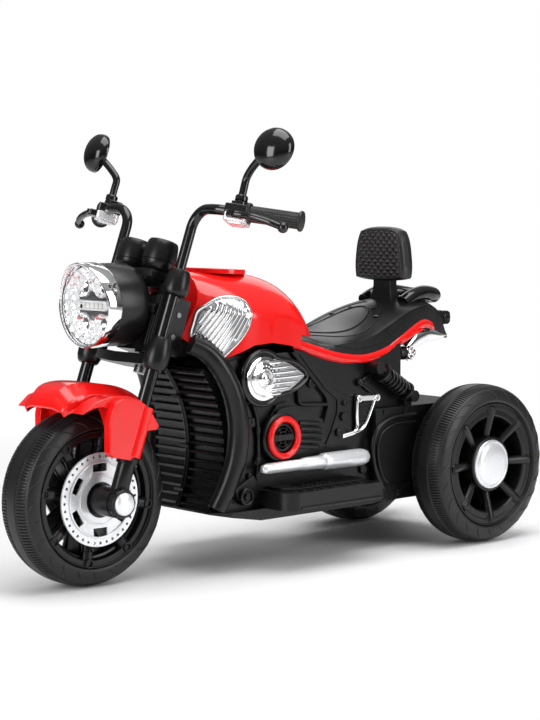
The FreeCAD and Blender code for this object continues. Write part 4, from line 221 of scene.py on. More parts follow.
class Form:
    """Points and faces of one piece, gathered in millimetres."""

    def __init__(self):
        self.points = []
        self.faces = []

    def add(self, points, faces, at=None):
        start = len(self.points)
        self.points += [at @ Vector(point) if at else Vector(point) for point in points]
        self.faces += [[start + corner for corner in face] for face in faces]
        return self

    def grid(self, rows, around=False, loop=False, at=None):
        """A net over rows of points; around closes each row, loop joins the last row to the first."""
        wide, tall = len(rows[0]), len(rows)
        faces = []
        for row in range(tall if loop else tall - 1):
            for col in range(wide if around else wide - 1):
                near, far = row * wide, (row + 1) % tall * wide
                faces.append((near + col, near + (col + 1) % wide, far + (col + 1) % wide, far + col))
        return self.add([point for row in rows for point in row], faces, at)

    def sleeve(self, rows, closed, at):
        """A net round rows of points, with flat ends unless the rows close on themselves."""
        if not closed:
            for end in (rows[0], rows[-1]):
                self.add(end, [range(len(end))], at)
        return self.grid(rows, True, closed, at)

    def lathe(self, profile, at=None, steps=56, ring=False):
        """A profile of (radius, height) turned about Z; a ring's profile closes on itself."""
        rows = [[(radius * cos(turn), radius * sin(turn), high) for turn in turns(steps)]
                for radius, high in profile]
        return self.sleeve(rows, ring, at)

    def tube(self, path, radius, at=None, sides=14, closed=False):
        """A round bar along a path; radius is one number or one for each point."""
        path = [Vector(point) for point in path]
        last = len(path) - 1
        rows = []
        across = None
        for number, point in enumerate(path):
            before = path[number - 1] if number or closed else point
            after = path[(number + 1) % len(path)] if number < last or closed else point
            ahead = (after - before).normalized()
            if across is None:
                across = ahead.orthogonal().normalized()
            across = (across - ahead * across.dot(ahead)).normalized()
            up = ahead.cross(across)
            size = radius[number] if isinstance(radius, (list, tuple)) else radius
            rows.append([point + (across * cos(turn) + up * sin(turn)) * size for turn in turns(sides)])
        return self.sleeve(rows, closed, at)

    def slab(self, outline, low, high, at=None):
        """A flat outline of (x, y), given a thickness in Z."""
        count = len(outline)
        points = [(x, y, low) for x, y in outline] + [(x, y, high) for x, y in outline]
        faces = [range(count)[::-1], range(count, 2 * count)]
        faces += [(n, (n + 1) % count, (n + 1) % count + count, n + count) for n in range(count)]
        return self.add(points, faces, at)

    def ball(self, spot, radius, steps=20):
        rises = [pi * (step / 10 - 0.5) for step in range(11)]
        profile = [(max(radius * cos(rise), 0.0001), radius * sin(rise)) for rise in rises]
        return self.lathe(profile, Matrix.Translation(spot), steps)

    def made(self, name, body, slot, node=None, edge=0.0, twin=False, angle=SHARP):
        """The finished object; edge is its bevel, and twin adds the same form on the bike's other side."""
        mesh = bpy.data.meshes.new(name)
        mesh.from_pydata([point * MM for point in self.points], [], self.faces)
        shape = bmesh.new()
        shape.from_mesh(mesh)
        bmesh.ops.remove_doubles(shape, verts=shape.verts, dist=0.000005)
        bmesh.ops.recalc_face_normals(shape, faces=shape.faces)
        made = smoothed(name, mesh, shape, angle)
        if edge:
            rounded(made, edge * MM)
        if twin:
            made.modifiers.new("twin", "MIRROR").use_axis = (True, False, False)
        return finished(made, body, slot, node)


def smooth_line(points, parts=8, closed=False):
    """A curve through points in two or three dimensions, cut into short parts."""
    points = [Vector(point) for point in points]
    count = len(points)
    line = []
    for number in range(count if closed else count - 1):
        if closed:
            p0, p1, p2, p3 = (points[(number + shift) % count] for shift in (-1, 0, 1, 2))
        else:
            p1, p2 = points[number], points[number + 1]
            p0 = points[number - 1] if number else p1 * 2 - p2
            p3 = points[number + 2] if number + 2 < count else p2 * 2 - p1
        for part in range(parts):
            t = part / parts
            line.append(0.5 * (2 * p1 + (p2 - p0) * t + (2 * p0 - 5 * p1 + 4 * p2 - p3) * t * t
                               + (3 * p1 - p0 - 3 * p2 + p3) * t ** 3))
    return line if closed else line + [points[-1]]


def moved(x, y, z):
    return Matrix.Translation((x, y, z))


def tilted(angle):
    return Matrix.Rotation(angle, 4, "X")


def turned(angle):
    return Matrix.Rotation(angle, 4, "Z")


# Places. SIDE takes (y, z, x) and PLAN takes (y, x, z).
SIDE = Matrix(((0, 0, 1, 0), (1, 0, 0, 0), (0, 1, 0, 0), (0, 0, 0, 1)))
PLAN = Matrix(((0, 1, 0, 0), (1, 0, 0, 0), (0, 0, 1, 0), (0, 0, 0, 1)))
RAKE = moved(0, FRONT_Y, AXLE_Z) @ tilted(RAKE_ANGLE)
LAMP = moved(0, -329, 393) @ tilted(pi / 2)
BOTH_ENDS = (Matrix.Identity(4), Matrix.Rotation(pi, 4, "Y"))


def side(y, z, x):
    """A place on the left side: local X runs to the back, local Y up and local Z out."""
    return moved(x, y, z) @ SIDE


def bar_place():
    """The left grip's own place: X out along the bar, Z up."""
    bend, end = Vector((118, -4, 427)), Vector((228, 62, 433))
    out = (end - bend).normalized()
    up = (Vector((0, 0, 1)) - out * out.z).normalized()
    turn = Matrix((out, up.cross(out), up)).transposed().to_4x4()
    return RAKE @ Matrix.Translation(end - out * 93) @ turn


BAR = bar_place()
RIGHT_BAR = Matrix.Diagonal((-1, 1, 1, 1)) @ BAR
BARS = ((BAR, "left"), (RIGHT_BAR, "right"))


class Skin:
    """The outer face of CAD nodes, found by a ray, in millimetres."""

    def __init__(self, *nodes):
        self.trees = []
        for node in nodes:
            shape = bmesh.new()
            shape.from_mesh(frame["nodes"][node].data)
            self.trees.append(BVHTree.FromBMesh(shape))
            shape.free()

    def hit(self, start, ahead):
        found = [tree.ray_cast(Vector(start) * MM, Vector(ahead)) for tree in self.trees]
        near = [row for row in found if row[0] is not None]
        return min(near, key=lambda row: row[3])[0] * 1000 if near else None

    def left(self, y, z, default):
        spot = self.hit((300, y, z), (-1, 0, 0))
        return spot.x if spot and spot.x > 0 else default

    def top(self, x, y, default):
        spot = self.hit((x, y, 900), (0, 0, -1))
        return spot.z if spot else default


# Wheels

def tyre_form():
    """A tyre with fine cross ribs on its shoulders and short curved ridges on its walls."""
    steps, ribs, marks = 840, 168, 24
    rib_share, rib_depth = 0.6, 1.9
    shoulder_in, shoulder_out = 11.5, 27.5
    half = [
        (0, 124.7), (8.6, 124.4), (9.4, 123.2), (11.2, 123.1), (12, 124.0), (16, 123.5), (21, 122.4), (25, 121),
        (27, 119.8), (28, 118.4), (29.8, 117.6), (31.2, 115.4), (32.4, 112.8), (33.3, 110.2), (34, 107.6),
        (34.5, 105), (34.8, 102.4), (34.9, 100.4), (34.3, 98.6), (33.2, 97.6), (31.4, 97.1), (26, 97),
    ]
    section = [(-x, r) for x, r in half[:0:-1]] + half
    rows = []
    for step, turn in enumerate(turns(steps)):
        cut = rib_depth * (step * ribs % steps >= steps * rib_share)
        row = []
        for x, r in section:
            r -= cut * (shoulder_in < abs(x) < shoulder_out)
            row.append((x, r * cos(turn), r * sin(turn)))
        rows.append(row)
    form = Form().grid(rows, around=True, loop=True)
    wall = half[10:17]
    for start in turns(marks):
        for sign in (-1, 1):
            line = []
            for number, (x, r) in enumerate(wall):
                share = number / (len(wall) - 1)
                turn = start - 0.09 * share + 0.10 * (1 - share) ** 3
                line.append((sign * x, r * cos(turn), r * sin(turn)))
            form.tube(line, [0.5, 1.1, 1.4, 1.5, 1.5, 1.3, 0.6], sides=8)
    return form


def tyres():
    first = tyre_form().made("front_tyre_ribbed", "front_wheel", "tyre", angle=50)
    places = {"front_tyre": first}
    for node in ("rear_tyre_left", "rear_tyre_right"):
        places[node] = linked(node + "_ribbed", first.data)
    for node, made in places.items():
        low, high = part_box(node)
        made.parent = None
        made.matrix_world = Matrix.Translation((low + high) / 2)
        finished(made, BODY_OF[node], "tyre", node)


def rim_ring(form, at, dish):
    """The rim's lip, the same on all wheels, and the dish inside it."""
    half = [(96.4, 26), (96.4, 33.2), (95.9, 33.8), (94.9, 33.8), (94.3, 33), (94.1, 31.2), (87.4, 31.2),
            (86.2, 30.2)] + dish
    form.lathe(half + [(r, -x) for r, x in half[::-1]], at, 96, ring=True)


SPOKES = 8


def front_rim():
    """Spokes with round stubs and bolt bosses on both faces, and the brake discs' raised rings."""
    at = side(FRONT_Y, AXLE_Z, 0)
    form = Form()
    rim_ring(form, at, [(84.4, 22), (81.2, 20.6), (79.8, 14), (78.2, 12)])
    boss = [(7, 16), (7, 33.6), (6.3, 34.4), (5, 34.4), (4.4, 33.8), (4.4, 25), (TIP, 25)]
    stub = [(30, 0, 15), (62, 0, 20), (74, 0, 23), (74.6, 0, 23), (90, 0, 24)]
    lead = -0.17
    for spoke in range(SPOKES):
        here = at @ turned(spoke * pi / 4 + lead)
        form.slab([(24, -9), (86, -6.5), (86, 6.5), (24, 9)], -13, 13, here)
        for flip in (0, pi):
            face = here @ tilted(flip)
            form.lathe(boss, face @ moved(90.6, 0, 0), 22)
            form.tube(stub, [10, 8, 7.6, 9, 8.8], face, 18)
    form.lathe([(26, -40), (26, 40)], at, 40)
    form.made("front_rim_spoked", "front_wheel", "black_plastic", "front_rim", 0.8)
    rings = Form()
    for flip in BOTH_ENDS:
        for near, far in ((51.5, 54), (33, 36.5)):
            profile = [(near, 39.5), (near, 40.6), (near + 0.6, 41.1), (far - 0.6, 41.1), (far, 40.6), (far, 39.5)]
            rings.lathe(profile, at @ flip, 72, ring=True)
    rings.made("disc_steps", "front_wheel", "silver")


def rear_rims():
    """Club-shaped spokes from a wide ring to the hub, and a domed cap."""
    club = [(30, 0, 14), (50, 0, 18.5), (70, 0, 23.5), (84, 0, 27), (89, 0, 28), (91.6, 0, 28.4), (92.8, 0, 28.6)]
    hub = [(43.5, -6), (43.5, 27), (42.4, 29.6), (40, 30.4), (38.9, 30), (38.6, 28), (TIP, 28)]
    cap = [(38.4, 27), (38.4, 31), (37.4, 32.4), (35.2, 32.8), (34.2, 32.4), (33.6, 33), (31.5, 34.8), (26, 36.2),
           (14, 36.9), (TIP, 37)]
    for sign, node, flip in zip((1, -1), ("rear_rim_left", "rear_rim_right"), BOTH_ENDS):
        at = side(REAR_Y, AXLE_Z, REAR_X * sign) @ flip
        form = Form()
        rim_ring(form, at, [(77.4, 30.8), (75.4, 29.4), (74, 24), (71.5, 2)])
        for spoke in range(SPOKES):
            here = at @ turned(spoke * pi / 4)
            form.tube(club, [6.4, 6.8, 7.6, 8.4, 8, 6, 3], here, 22)
            form.slab([(28, -4), (86, -5.5), (86, 5.5), (28, 4)], -6, 14, here)
        form.lathe([(78, -9), (78, -5), (30, -5), (30, -9)], at, 64, ring=True)
        form.lathe(hub, at, 64)
        body = BODY_OF[node]
        form.made(node + "_spoked", body, "black_plastic", node, 0.6)
        Form().lathe(cap, at, 64).made(node + "_cap", body, "silver")


def front_axle():
    """The axle with a toothed nut and a domed cap on each end."""
    ring = [(14, 79.6), (19.6, 79.6), (19.9, 81), (19.9, 91.5), (18.8, 93), (16.4, 93), (16, 92), (14, 92)]
    cap = [(15.9, 90), (15.9, 94.2), (15, 95.8), (11.5, 97.2), (6, 97.9), (TIP, 98)]
    nut, dome = Form(), Form()
    at = side(FRONT_Y, AXLE_Z, 0)
    nut.lathe([(5, -79.5), (5, 79.5)], at, 24)
    for flip in BOTH_ENDS:
        nut.lathe(ring, at @ flip, 60, ring=True)
        for tooth in range(12):
            here = at @ flip @ turned(tooth * pi / 6)
            nut.slab([(19, -3.2), (21, -2.9), (21, 2.9), (19, 3.2)], 81.5, 91, here)
        dome.lathe(cap, at @ flip, 48)
    nut.made("axle_nuts", "steering", "black_plastic", "front_axle", 0.5)
    dome.made("axle_caps", "steering", "silver")


# Front end

def headlamp():
    """The bezel, drawn out to a short visor at its top, and the bucket behind it."""
    section = [(55.6, -4), (55.8, 1), (56.6, 3), (58, 3.5), (59.3, 2.4), (60, -1), (60, -17), (59.2, -19.4),
               (58, -20), (57, -18), (56, -10)]
    lean, visor, lift = 0.12, 11, 0.6
    rows = []
    for radius, high in section:
        row = []
        for turn in turns(96):
            peak = max(0, sin(turn + lean)) ** 1.5 * (1 if high > -4.5 else 0.25)
            row.append((radius * cos(turn), radius * sin(turn) + lift * peak, high + visor * peak))
        rows.append(row)
    ring = Form().grid(rows, around=True, loop=True, at=LAMP)
    ring.made("bezel_ring", "steering", "plated", "headlamp_bezel")
    bucket = [(57, -18), (58.4, -19), (58.8, -21), (58.8, -58), (57.8, -65), (54.6, -72), (47, -79), (35, -84),
              (20, -87), (TIP, -88)]
    Form().lathe(bucket, LAMP, 72).made("lamp_bucket", "steering", "black_plastic", "headlamp_shell")


def reflector():
    """A bowl of puffed facets with small cups in it, and the bar of cells across its middle."""
    bowl = Form()
    cols, rings = 144, 36
    rows = []
    for ring in range(rings + 1):
        share = ring / rings
        radius = 55.4 - 51.4 * share
        row = []
        for turn in turns(cols):
            puff = abs(sin(12 * turn)) ** 0.6 * abs(sin(6 * pi * share)) ** 0.6
            row.append((radius * cos(turn), radius * sin(turn), -6 - 25 * sin(share * pi / 2) + 2.6 * puff))
        rows.append(row)
    bowl.grid(rows, around=True, at=LAMP)
    bowl.add(rows[-1], [range(cols)], LAMP)
    cup = [(16.5, -24), (16.5, -11), (15.8, -10.4), (15, -11), (13.4, -14.6), (9.6, -18.2), (5, -20.4),
           (3.4, -20.6), (3.2, -15), (2, -13.6), (TIP, -13.2)]
    for x in (-21, 21):
        for y in (-27, 27):
            bowl.lathe(cup, LAMP @ moved(x, y, 0), 14)
    for y in (-40, -27, 27, 40):
        stud = [(7, -24), (7, -12), (6, -11.6), (3, -16), (TIP, -16.6)]
        bowl.lathe(stud, LAMP @ moved(0, y, 0), 8)
    bowl.made("reflector_facets", "steering", "plated", "headlamp_reflector", angle=50)
    bar = [(-33, -7), (33, -7), (36, -4), (36, 4), (33, 7), (-33, 7), (-36, 4), (-36, -4)]
    Form().slab(bar, -18, -9, LAMP).made("lamp_bar", "steering", "silver", edge=1.2)
    cells = Form()
    for x in range(-25, 26, 10):
        cells.slab(oblong(x - 3.6, -3.4, x + 3.6, 3.4), -10, -7.6, LAMP)
    cells.made("lamp_cells", "steering", "gear_nylon", edge=0.6)


def gauges():
    low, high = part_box("gauge_pods")
    middle = (low + high) / 2 * 1000
    bell = [(TIP, -25), (11, -25), (16, -23.4), (20.4, -19), (23.2, -13.6), (24.2, -10), (24.2, -9.2), (23.4, -8.8),
            (23.4, -8.2), (24.5, -7.6), (24.6, -5), (24.2, 4), (23.2, 13), (21.8, 19.4), (20, 22), (18, 22.6),
            (17, 21.6), (TIP, 21.2)]
    form = Form()
    for x in (-30, 30):
        at = moved(x, middle.y, middle.z) @ tilted(RAKE_ANGLE)
        form.lathe(bell, at, 56)
    form.made("gauge_bells", "steering", "black_plastic", "gauge_pods")


def fork_clamps():
    """Bell-shaped clamps on the tubes, two yokes, the gauges' bracket plate and the lamp's ribbed ears."""
    form = Form()
    half = [(34, 9), (70, -9), (74, 0), (70, 8), (34, 37), (17, 40), (15, 46), (10, 51), (4, 54)]
    yoke = half + [(-x, y) for x, y in half[::-1]]
    form.slab(yoke, 313, 328, RAKE)
    form.slab(yoke, 200, 215, RAKE)
    bracket = [(-34, -30), (34, -30), (47, -26), (51, -10), (44, 14), (-44, 14), (-51, -10), (-47, -26)]
    form.slab(bracket, 319, 330, RAKE)
    upper = [(9.6, 337), (12.4, 337), (14, 336), (16, 330), (17.8, 320), (18.5, 311), (18.2, 305), (16.4, 301),
             (13, 299.4), (9.6, 299.4)]
    lower = [(9.6, 238), (11.6, 238), (13.6, 236.6), (16, 230), (17.9, 219), (18.5, 209), (17.9, 201),
             (15.6, 193.6), (13, 190.4), (9.6, 190.4)]
    for tube_x, inward in ((-76, 1), (76, -1)):
        here = RAKE @ moved(tube_x, 0, 0)
        form.lathe(upper, here, 44, ring=True)
        form.lathe(lower, here, 44, ring=True)
        form.slab(oblong(9 * inward, -9, 25 * inward, 9), 214, 314, here)
        for rib in (12, 17, 22):
            form.tube([(rib * inward, -9.6, 224), (rib * inward, -9.6, 298)], 1.6, here, 8)
    form.tube([(-60, -9, 276), (-30, -15, 277), (30, -15, 277), (60, -9, 276)], 9, RAKE, 16)
    form.made("fork_yokes", "steering", "black_plastic", "fork_clamps", 1.2)


def grips():
    """Soft grips with a flange at each end and grooves between them."""
    section = [(TIP, 94), (9, 94), (10.5, 93.4), (14, 93), (14.5, 92), (14.5, 90), (13.6, 89), (11.6, 88.6),
               (11.7, 88), (11.7, 20), (11.4, 18.5), (14.4, 17.6), (15.2, 16.6), (15.2, 13.4), (14, 12), (8, 12)]
    groove, groove_from, groove_to = 0.9, 19, 88.3
    rows = []
    for radius, along in section:
        row = []
        for step, turn in enumerate(turns(96)):
            cut = groove if groove_from < along < groove_to and step % 12 < 3 else 0
            row.append((along, (radius - cut) * cos(turn), (radius - cut) * sin(turn)))
        rows.append(row)
    form = Form().grid(rows, around=True, at=BAR)
    form.made("grips_grooved", "steering", "soft_grip", "grips", twin=True, angle=50)


def controls():
    """Switch housings with a well for the horn, filled on the right by a plug, and the levers."""
    plan = [(-14, -16), (14, -16), (16, -12), (16, 13), (12, 17), (7.4, 17), (7.4, 8), (-7.4, 8), (-7.4, 17),
            (-12, 17), (-16, 13), (-16, -12)]
    shell = Form()
    shell.slab([(x * 1.02, y * 1.02) for x, y in plan], -16.5, -4, BAR)
    shell.slab([(x * 0.7, y * 0.7) for x, y in plan if abs(x) > 8], -19, -16, BAR)
    shell.made("switch_lower", "steering", "silver", edge=1.6, twin=True)
    top = Form()
    top.slab([(x * 1.08, y * 1.06) for x, y in plan], -4, 8, BAR)
    top.slab([(-13, -2), (10, -2), (14, 4), (14, 18), (-10, 18), (-13, 14)], 7, 16, BAR)
    top.slab([(-9, -26), (9, -26), (12, -12), (-12, -12)], -14, -4.7, BAR)
    top.lathe([(8.6, -3), (8.6, 14), (8, 16)], BAR, 28)
    top.made("switch_upper", "steering", "black_gloss", "control_pods", 1.4, True)
    plug = Form().slab(oblong(-7.6, 7.6, 7.6, 17.2), -16, 7.6, RIGHT_BAR)
    plug.made("switch_blank", "steering", "black_gloss", edge=1.2)
    line = smooth_line([(0, -24, -9), (14, -26, -9.5), (30, -30, -11), (48, -33, -14), (62, -33.5, -17),
                        (74, -31, -19.5)], 5)
    sizes = [5.4 - 0.8 * step / (len(line) - 1) for step in range(len(line))]
    for place, name in BARS:
        lever = Form().tube(line, sizes, place)
        lever.ball(place @ Vector((77, -30, -20)), 7.6)
        lever.lathe([(6.8, -12.4), (6.8, -5.6)], place @ moved(0, -24, 0), 24)
        lever.made("lever_blade_" + name, "lever_" + name, "black_gloss", "lever_" + name, angle=45)


def mirrors():
    """Round shells on bent stalks, with a plated glass in each."""
    shell = [(TIP, -12)]
    for step in range(1, 13):
        bend = step / 12 * pi / 2
        shell.append((30.2 * sin(bend), 7 - 19 * cos(bend)))
    shell += [(30.3, 9.5), (29.8, 11.6), (28.6, 12), (28.2, 11), (TIP, 11)]
    stalk = smooth_line([(0, 0, 16), (0, 0, 34), (1, -1, 50), (9, -11, 62), (22, -24, 74), (34, -36, 83)], 6)
    for place, name in BARS:
        face = place @ moved(40, -42, 87) @ turned(radians(-16)) @ tilted(-pi / 2)
        form = Form().lathe(shell, face, 64)
        form.tube(stalk, 5.5, place, 18)
        form.lathe([(9, 16.4), (9, 22), (8, 24), (6, 25)], place, 28)
        form.made("mirror_shell_" + name, "mirror_" + name, "black_gloss", "mirror_" + name, angle=40)
        glass = Form().lathe([(28.1, 11), (28.1, 11.4), (TIP, 11.4)], face, 48)
        glass.made("mirror_glass_" + name, "mirror_" + name, "plated")


# Body sides

def patch(form, skin, outline, lift, default):
    """A plate that follows the skin inside a closed side-view outline, raised by a lift."""
    rings, depth = 7, 6
    middle = sum((Vector(point) for point in outline), Vector((0, 0))) / len(outline)
    rows = []
    for ring in range(rings + 1):
        share = 1 - ring / rings
        row = []
        for y, z in outline:
            spot = middle + (Vector((y, z)) - middle) * max(share, TIP)
            row.append((skin.left(spot.x, spot.y, default) + lift, spot.x, spot.y))
        rows.append(row)
    foot = [(x - depth, y, z) for x, y, z in rows[0]]
    return form.grid([foot] + rows, around=True)


def within(spot, outline, margin):
    """True where a side-view point lies inside an outline by at least a margin."""
    inside = False
    for (y1, z1), (y2, z2) in zip(outline, outline[1:] + outline[:1]):
        if (z1 > spot.y) != (z2 > spot.y) and spot.x < (y2 - y1) * (spot.y - z1) / (z2 - z1) + y1:
            inside = not inside
    return inside and min(hypot(spot.x - y, spot.y - z) for y, z in outline) > margin


class TankSide(Skin):
    """The tank's side, carried on to the front past its cut edge."""
    edge, slope = -176, 0.95

    def left(self, y, z, default):
        near = super().left(max(y, self.edge), z, default)
        return near - max(0, self.edge - y) * self.slope


def grilles():
    """Plated teardrops on the tank: a rolled border round slanting flutes."""
    skin = TankSide("tank_shell")
    corners = [(-176, 382), (-180, 366), (-183, 351), (-182, 346), (-174, 338), (-164, 326), (-154, 316),
               (-150, 316), (-140, 327), (-126, 342), (-115, 358), (-110, 374), (-109, 385), (-112, 394),
               (-119, 399), (-128, 401), (-141, 401), (-153, 398), (-167, 390)]
    outline = [tuple(point) for point in smooth_line(corners, 6, True)]
    missed, pitch, margin = 86, 5.3, 4.6
    form = patch(Form(), skin, outline, 1.2, missed)
    border = [(skin.left(y, z, missed) + 1.4, y, z) for y, z in outline]
    form.tube(border, 2.3, closed=True, sides=12)
    middle = Vector((-146, 362))
    along, across = Vector((0.5, 0.866)), Vector((0.866, -0.5))
    for number in range(-7, 8):
        flute = []
        for step in range(-60, 61):
            spot = middle + across * (number * pitch) + along * step
            if within(spot, outline, margin):
                flute.append((skin.left(spot.x, spot.y, missed) + 1.6, spot.x, spot.y))
        if len(flute) > 8:
            sizes = [2.5 * min(1, 0.45 + 0.25 * min(n, len(flute) - 1 - n)) for n in range(len(flute))]
            form.tube(flute, sizes, sides=12)
    form.made("grille_flutes", "chassis", "plated", "tank_grilles", twin=True, angle=60)


def air_cleaners():
    """Plated round covers with a beaded ring, and a fluted tail drawn out to the back."""
    at = side(-84, 282, 96)
    cover = [(33, 0), (33, 2.4), (31.8, 4.2), (29, 5), (26.8, 5), (26, 4.2), (24.6, 4.2), (23.8, 5.2), (22, 5.6),
             (15, 6.4), (14.2, 5.6), (13, 5.6), (12.2, 6.8), (8.6, 8.4), (7.8, 7.8), (6.6, 8), (5.8, 9.4),
             (3.4, 10.6), (TIP, 11)]
    form = Form().lathe(cover, at, 72)
    for turn in turns(22):
        form.ball(at @ Vector((18.4 * cos(turn), 18.4 * sin(turn), 5.9)), 1.3, 10)
    leaf = [(4, 29), (34, 25), (58, 15), (76, 4), (81, 0), (76, -5), (58, -16), (34, -27), (4, -30)]
    form.slab(smooth_line(leaf, 5), -3, 2.2, at)
    start = 14
    for bar in range(-3, 4):
        end = 78 - 62 * (abs(bar) / 4) ** 1.3
        line = [(start + (end - start) * step / 8, 7.6 * bar - 0.5 + 0.02 * (end - start) * step / 8, 3.2)
                for step in range(9)]
        form.tube(line, [3.3] * 6 + [3.1, 2.6, 1.2], at, 14)
    form.made("air_cleaner_covers", "chassis", "plated", "air_cleaners", twin=True, angle=40)
    arc = [radians(45 + step * 270 / 24) for step in range(25)]
    outline = [(39 * cos(turn) - 84, 39 * sin(turn) + 283) for turn in arc] + [(-18, 263), (4, 281), (-18, 301)]
    lip = smooth_line([(96.5, y, z) for y, z in outline], 4, True)
    black = Form().tube(lip, 3.6, closed=True, sides=12)
    black.slab([(p.y, p.z) for p in lip], 84, 96.5, SIDE)
    black.made("air_cleaner_lips", "chassis", "black_gloss", twin=True, angle=45)


def engine():
    """The round case with its dial and red hoop, and the capsule-ribbed barrel behind it."""
    form = Form()
    at = side(-45, 193, 0)
    form.lathe([(37, 84), (37, 95), (35.5, 97), (33, 97.5), (30, 97.5), (24, 96.5), (TIP, 96.5)], at, 64)
    form.lathe([(21.5, 96), (21.5, 98.4), (20.5, 99), (17.5, 99), (16.8, 98.2), (16.8, 96)], at, 56, ring=True)
    form.slab(oblong(-20, -4.5, 20, 4.5), 96, 100.4, at)
    for near, far in ((7.4, 9.2), (13, 14.6)):
        ring = [(near, 96), (near, 98.2), (near + 0.5, 98.7), (far - 0.5, 98.7), (far, 98.2), (far, 96)]
        form.lathe(ring, at, 48, ring=True)
    for turn in (60, 120, 240, 300):
        form.slab(oblong(9, -0.9, 17, 0.9), 96, 98.2, at @ turned(radians(turn)))
    barrel = [(-74, 198), (-57, 228), (-42, 236), (-20, 236), (5, 226), (32, 215), (43, 196), (35, 176), (1, 170),
              (-40, 164), (-68, 172)]
    form.slab(smooth_line(barrel, 6, True), 83, 96.5, SIDE)
    for front, back, high in ((-12, 30, 212), (-10, 35, 203), (-10, 36, 194), (-12, 34, 185), (-14, 28, 177)):
        line = [(96.5, front + (back - front) * step / 6, high - 4 * step / 6) for step in range(7)]
        form.tube(line, [3.2, 3.9, 4.1, 4.2, 4.1, 3.9, 2.4])
    form.slab([(-62, 226), (-50, 240), (-28, 244), (-12, 232), (-30, 222)], 83, 90, SIDE)
    form.made("engine_cases", "chassis", "black_plastic", edge=0.8, twin=True)
    hoop = Form().lathe([(27.2 + 4.8 * cos(turn), 101 + 4.8 * sin(turn)) for turn in turns(24)], at, 72, ring=True)
    hoop.made("engine_hoops", "chassis", "red_gloss", "engine_rings", twin=True, angle=60)


def relief():
    """The strut, pipes, clips and bolts that stand out from the body's sides."""
    form = Form()
    strut = [(-18, 320), (0, 317), (67, 256), (93, 243), (100, 229), (94, 199), (78, 178), (70, 168), (37, 172),
             (51, 191), (64, 221), (64, 240), (38, 257), (-10, 305)]
    form.slab(strut, 83, 91.5, SIDE)
    inner = [(-8, 313), (2, 311), (66, 253), (88, 240), (94, 228), (89, 202), (74, 181), (66, 172), (46, 174),
             (57, 192), (70, 221), (70, 240), (44, 259)]
    form.slab(inner, 91, 93.6, SIDE)
    form.slab(hexagon(7.5), 92, 98, side(82, 214, 0))
    bolts = ((72, 190, 6.4), (84, 234, 4.2), (-100, 219, 6), (-137, 297, 6.5), (23, 268, 8), (-87, 159, 5.5),
             (103, 147, 6.5), (132, 128, 7.5), (-100, 140, 5))
    for y, z, size in bolts:
        base = 93 if y > 60 and z > 160 else 84
        form.lathe([(size, base - 1), (size, base + 4), (size * 0.8, base + 5.4), (size * 0.5, base + 5.4),
                    (size * 0.45, base + 4), (TIP, base + 4)], side(y, z, 0), 28)
    form.tube(smooth_line([(88, -5, 262), (88, -4, 244), (88, 2, 238), (88, 26, 236), (88, 56, 234)], 6), 3.2)
    form.tube(smooth_line([(86, -99, 262), (88, -93, 240), (88, -87, 222), (88, -85, 181), (88, -86, 132)], 6), 3.2)
    for z in (206, 162, 140):
        form.lathe([(4.8, -5), (4.8, 5)], moved(88, -86, z), 20)
    form.slab([(-112, 226), (-86, 224), (-86, 212), (-106, 210)], 83, 87.5, SIDE)
    eye = side(-112, 112, 0)
    form.lathe([(13.5, 84), (13.5, 96), (12.4, 97.2), (9.6, 97.2), (8.8, 96), (8.8, 93.5), (TIP, 93.5)], eye, 48)
    form.slab(hexagon(5.6), 93, 97.5, eye)
    form.slab([(-132, 124), (-118, 130), (-96, 141), (-90, 132), (-98, 116), (-112, 100), (-126, 108)], 84, 91, SIDE)
    knuckle = (88, 123, 262)
    form.tube([knuckle, (86, 160, 280), (80, 196, 296)], 3)
    form.tube([knuckle, (88, 149, 245)], 2.6)
    form.ball(knuckle, 6.2)
    form.slab([(-150, 306), (-128, 312), (-116, 300), (-128, 284), (-146, 286)], 83, 88, SIDE)
    form.made("body_relief", "chassis", "black_plastic", edge=0.9, twin=True)


def pegs():
    """Plated brackets with two eyes above tapering legs, and the black ribbed plate between the legs."""
    chrome = Form()
    eye = [(6.2, 86), (6.2, 92), (5.4, 93.4), (3.2, 93.4), (2.6, 92.6), (2.6, 90), (TIP, 90)]
    for y, z in ((119, 238), (157, 237)):
        chrome.lathe(eye, side(y, z, 0), 28)
    chrome.slab([(121, 234), (155, 233), (155, 241), (121, 242)], 86, 91, SIDE)
    for leg in ([(89, 116, 236), (89, 115.5, 215), (89, 116, 194), (89, 108, 187), (89, 86, 183)],
                [(89, 154, 235), (89, 144, 214), (89, 132, 195), (89, 120, 188), (89, 104, 186)]):
        chrome.tube(smooth_line(leg, 6), 3.1)
    chrome.slab([(84, 180), (110, 184), (110, 190), (84, 186.5)], 86, 92, SIDE)
    chrome.made("peg_bracket_legs", "chassis", "plated", "peg_brackets", 0.8, True)
    black = Form()
    black.slab([(118, 233), (152, 232), (131, 195), (118, 192)], 83, 87, SIDE)
    for step in range(6):
        z = 198 + step * 6
        black.slab([(119, z), (132 + step * 3.3, z), (133 + step * 3.3, z + 2.6), (119, z + 2.6)], 86.5, 89, SIDE)
    black.made("peg_plates", "chassis", "black_plastic", edge=0.4, twin=True)


def exhausts():
    stations = [(-93, 3), (-91, 5.4), (-86, 7.2), (-80, 7.8), (-14, 8.2), (-12, 9.6), (26, 10.2), (27, 11.4),
                (30, 12.6), (40, 13), (104, 13), (112, 12.2), (118, 10.4), (122, 7)]
    form = Form()
    form.tube([(104.5, y, 151) for y, r in stations], [r for y, r in stations], sides=32)
    for y in (36, 96):
        at = moved(112, y, 161) @ Matrix.Rotation(radians(40), 4, "Y")
        form.lathe([(2.6, 0), (2.6, 1.4), (2, 2), (TIP, 2)], at, 16)
    form.made("exhaust_pipes", "chassis", "silver", "exhausts", twin=True, angle=40)


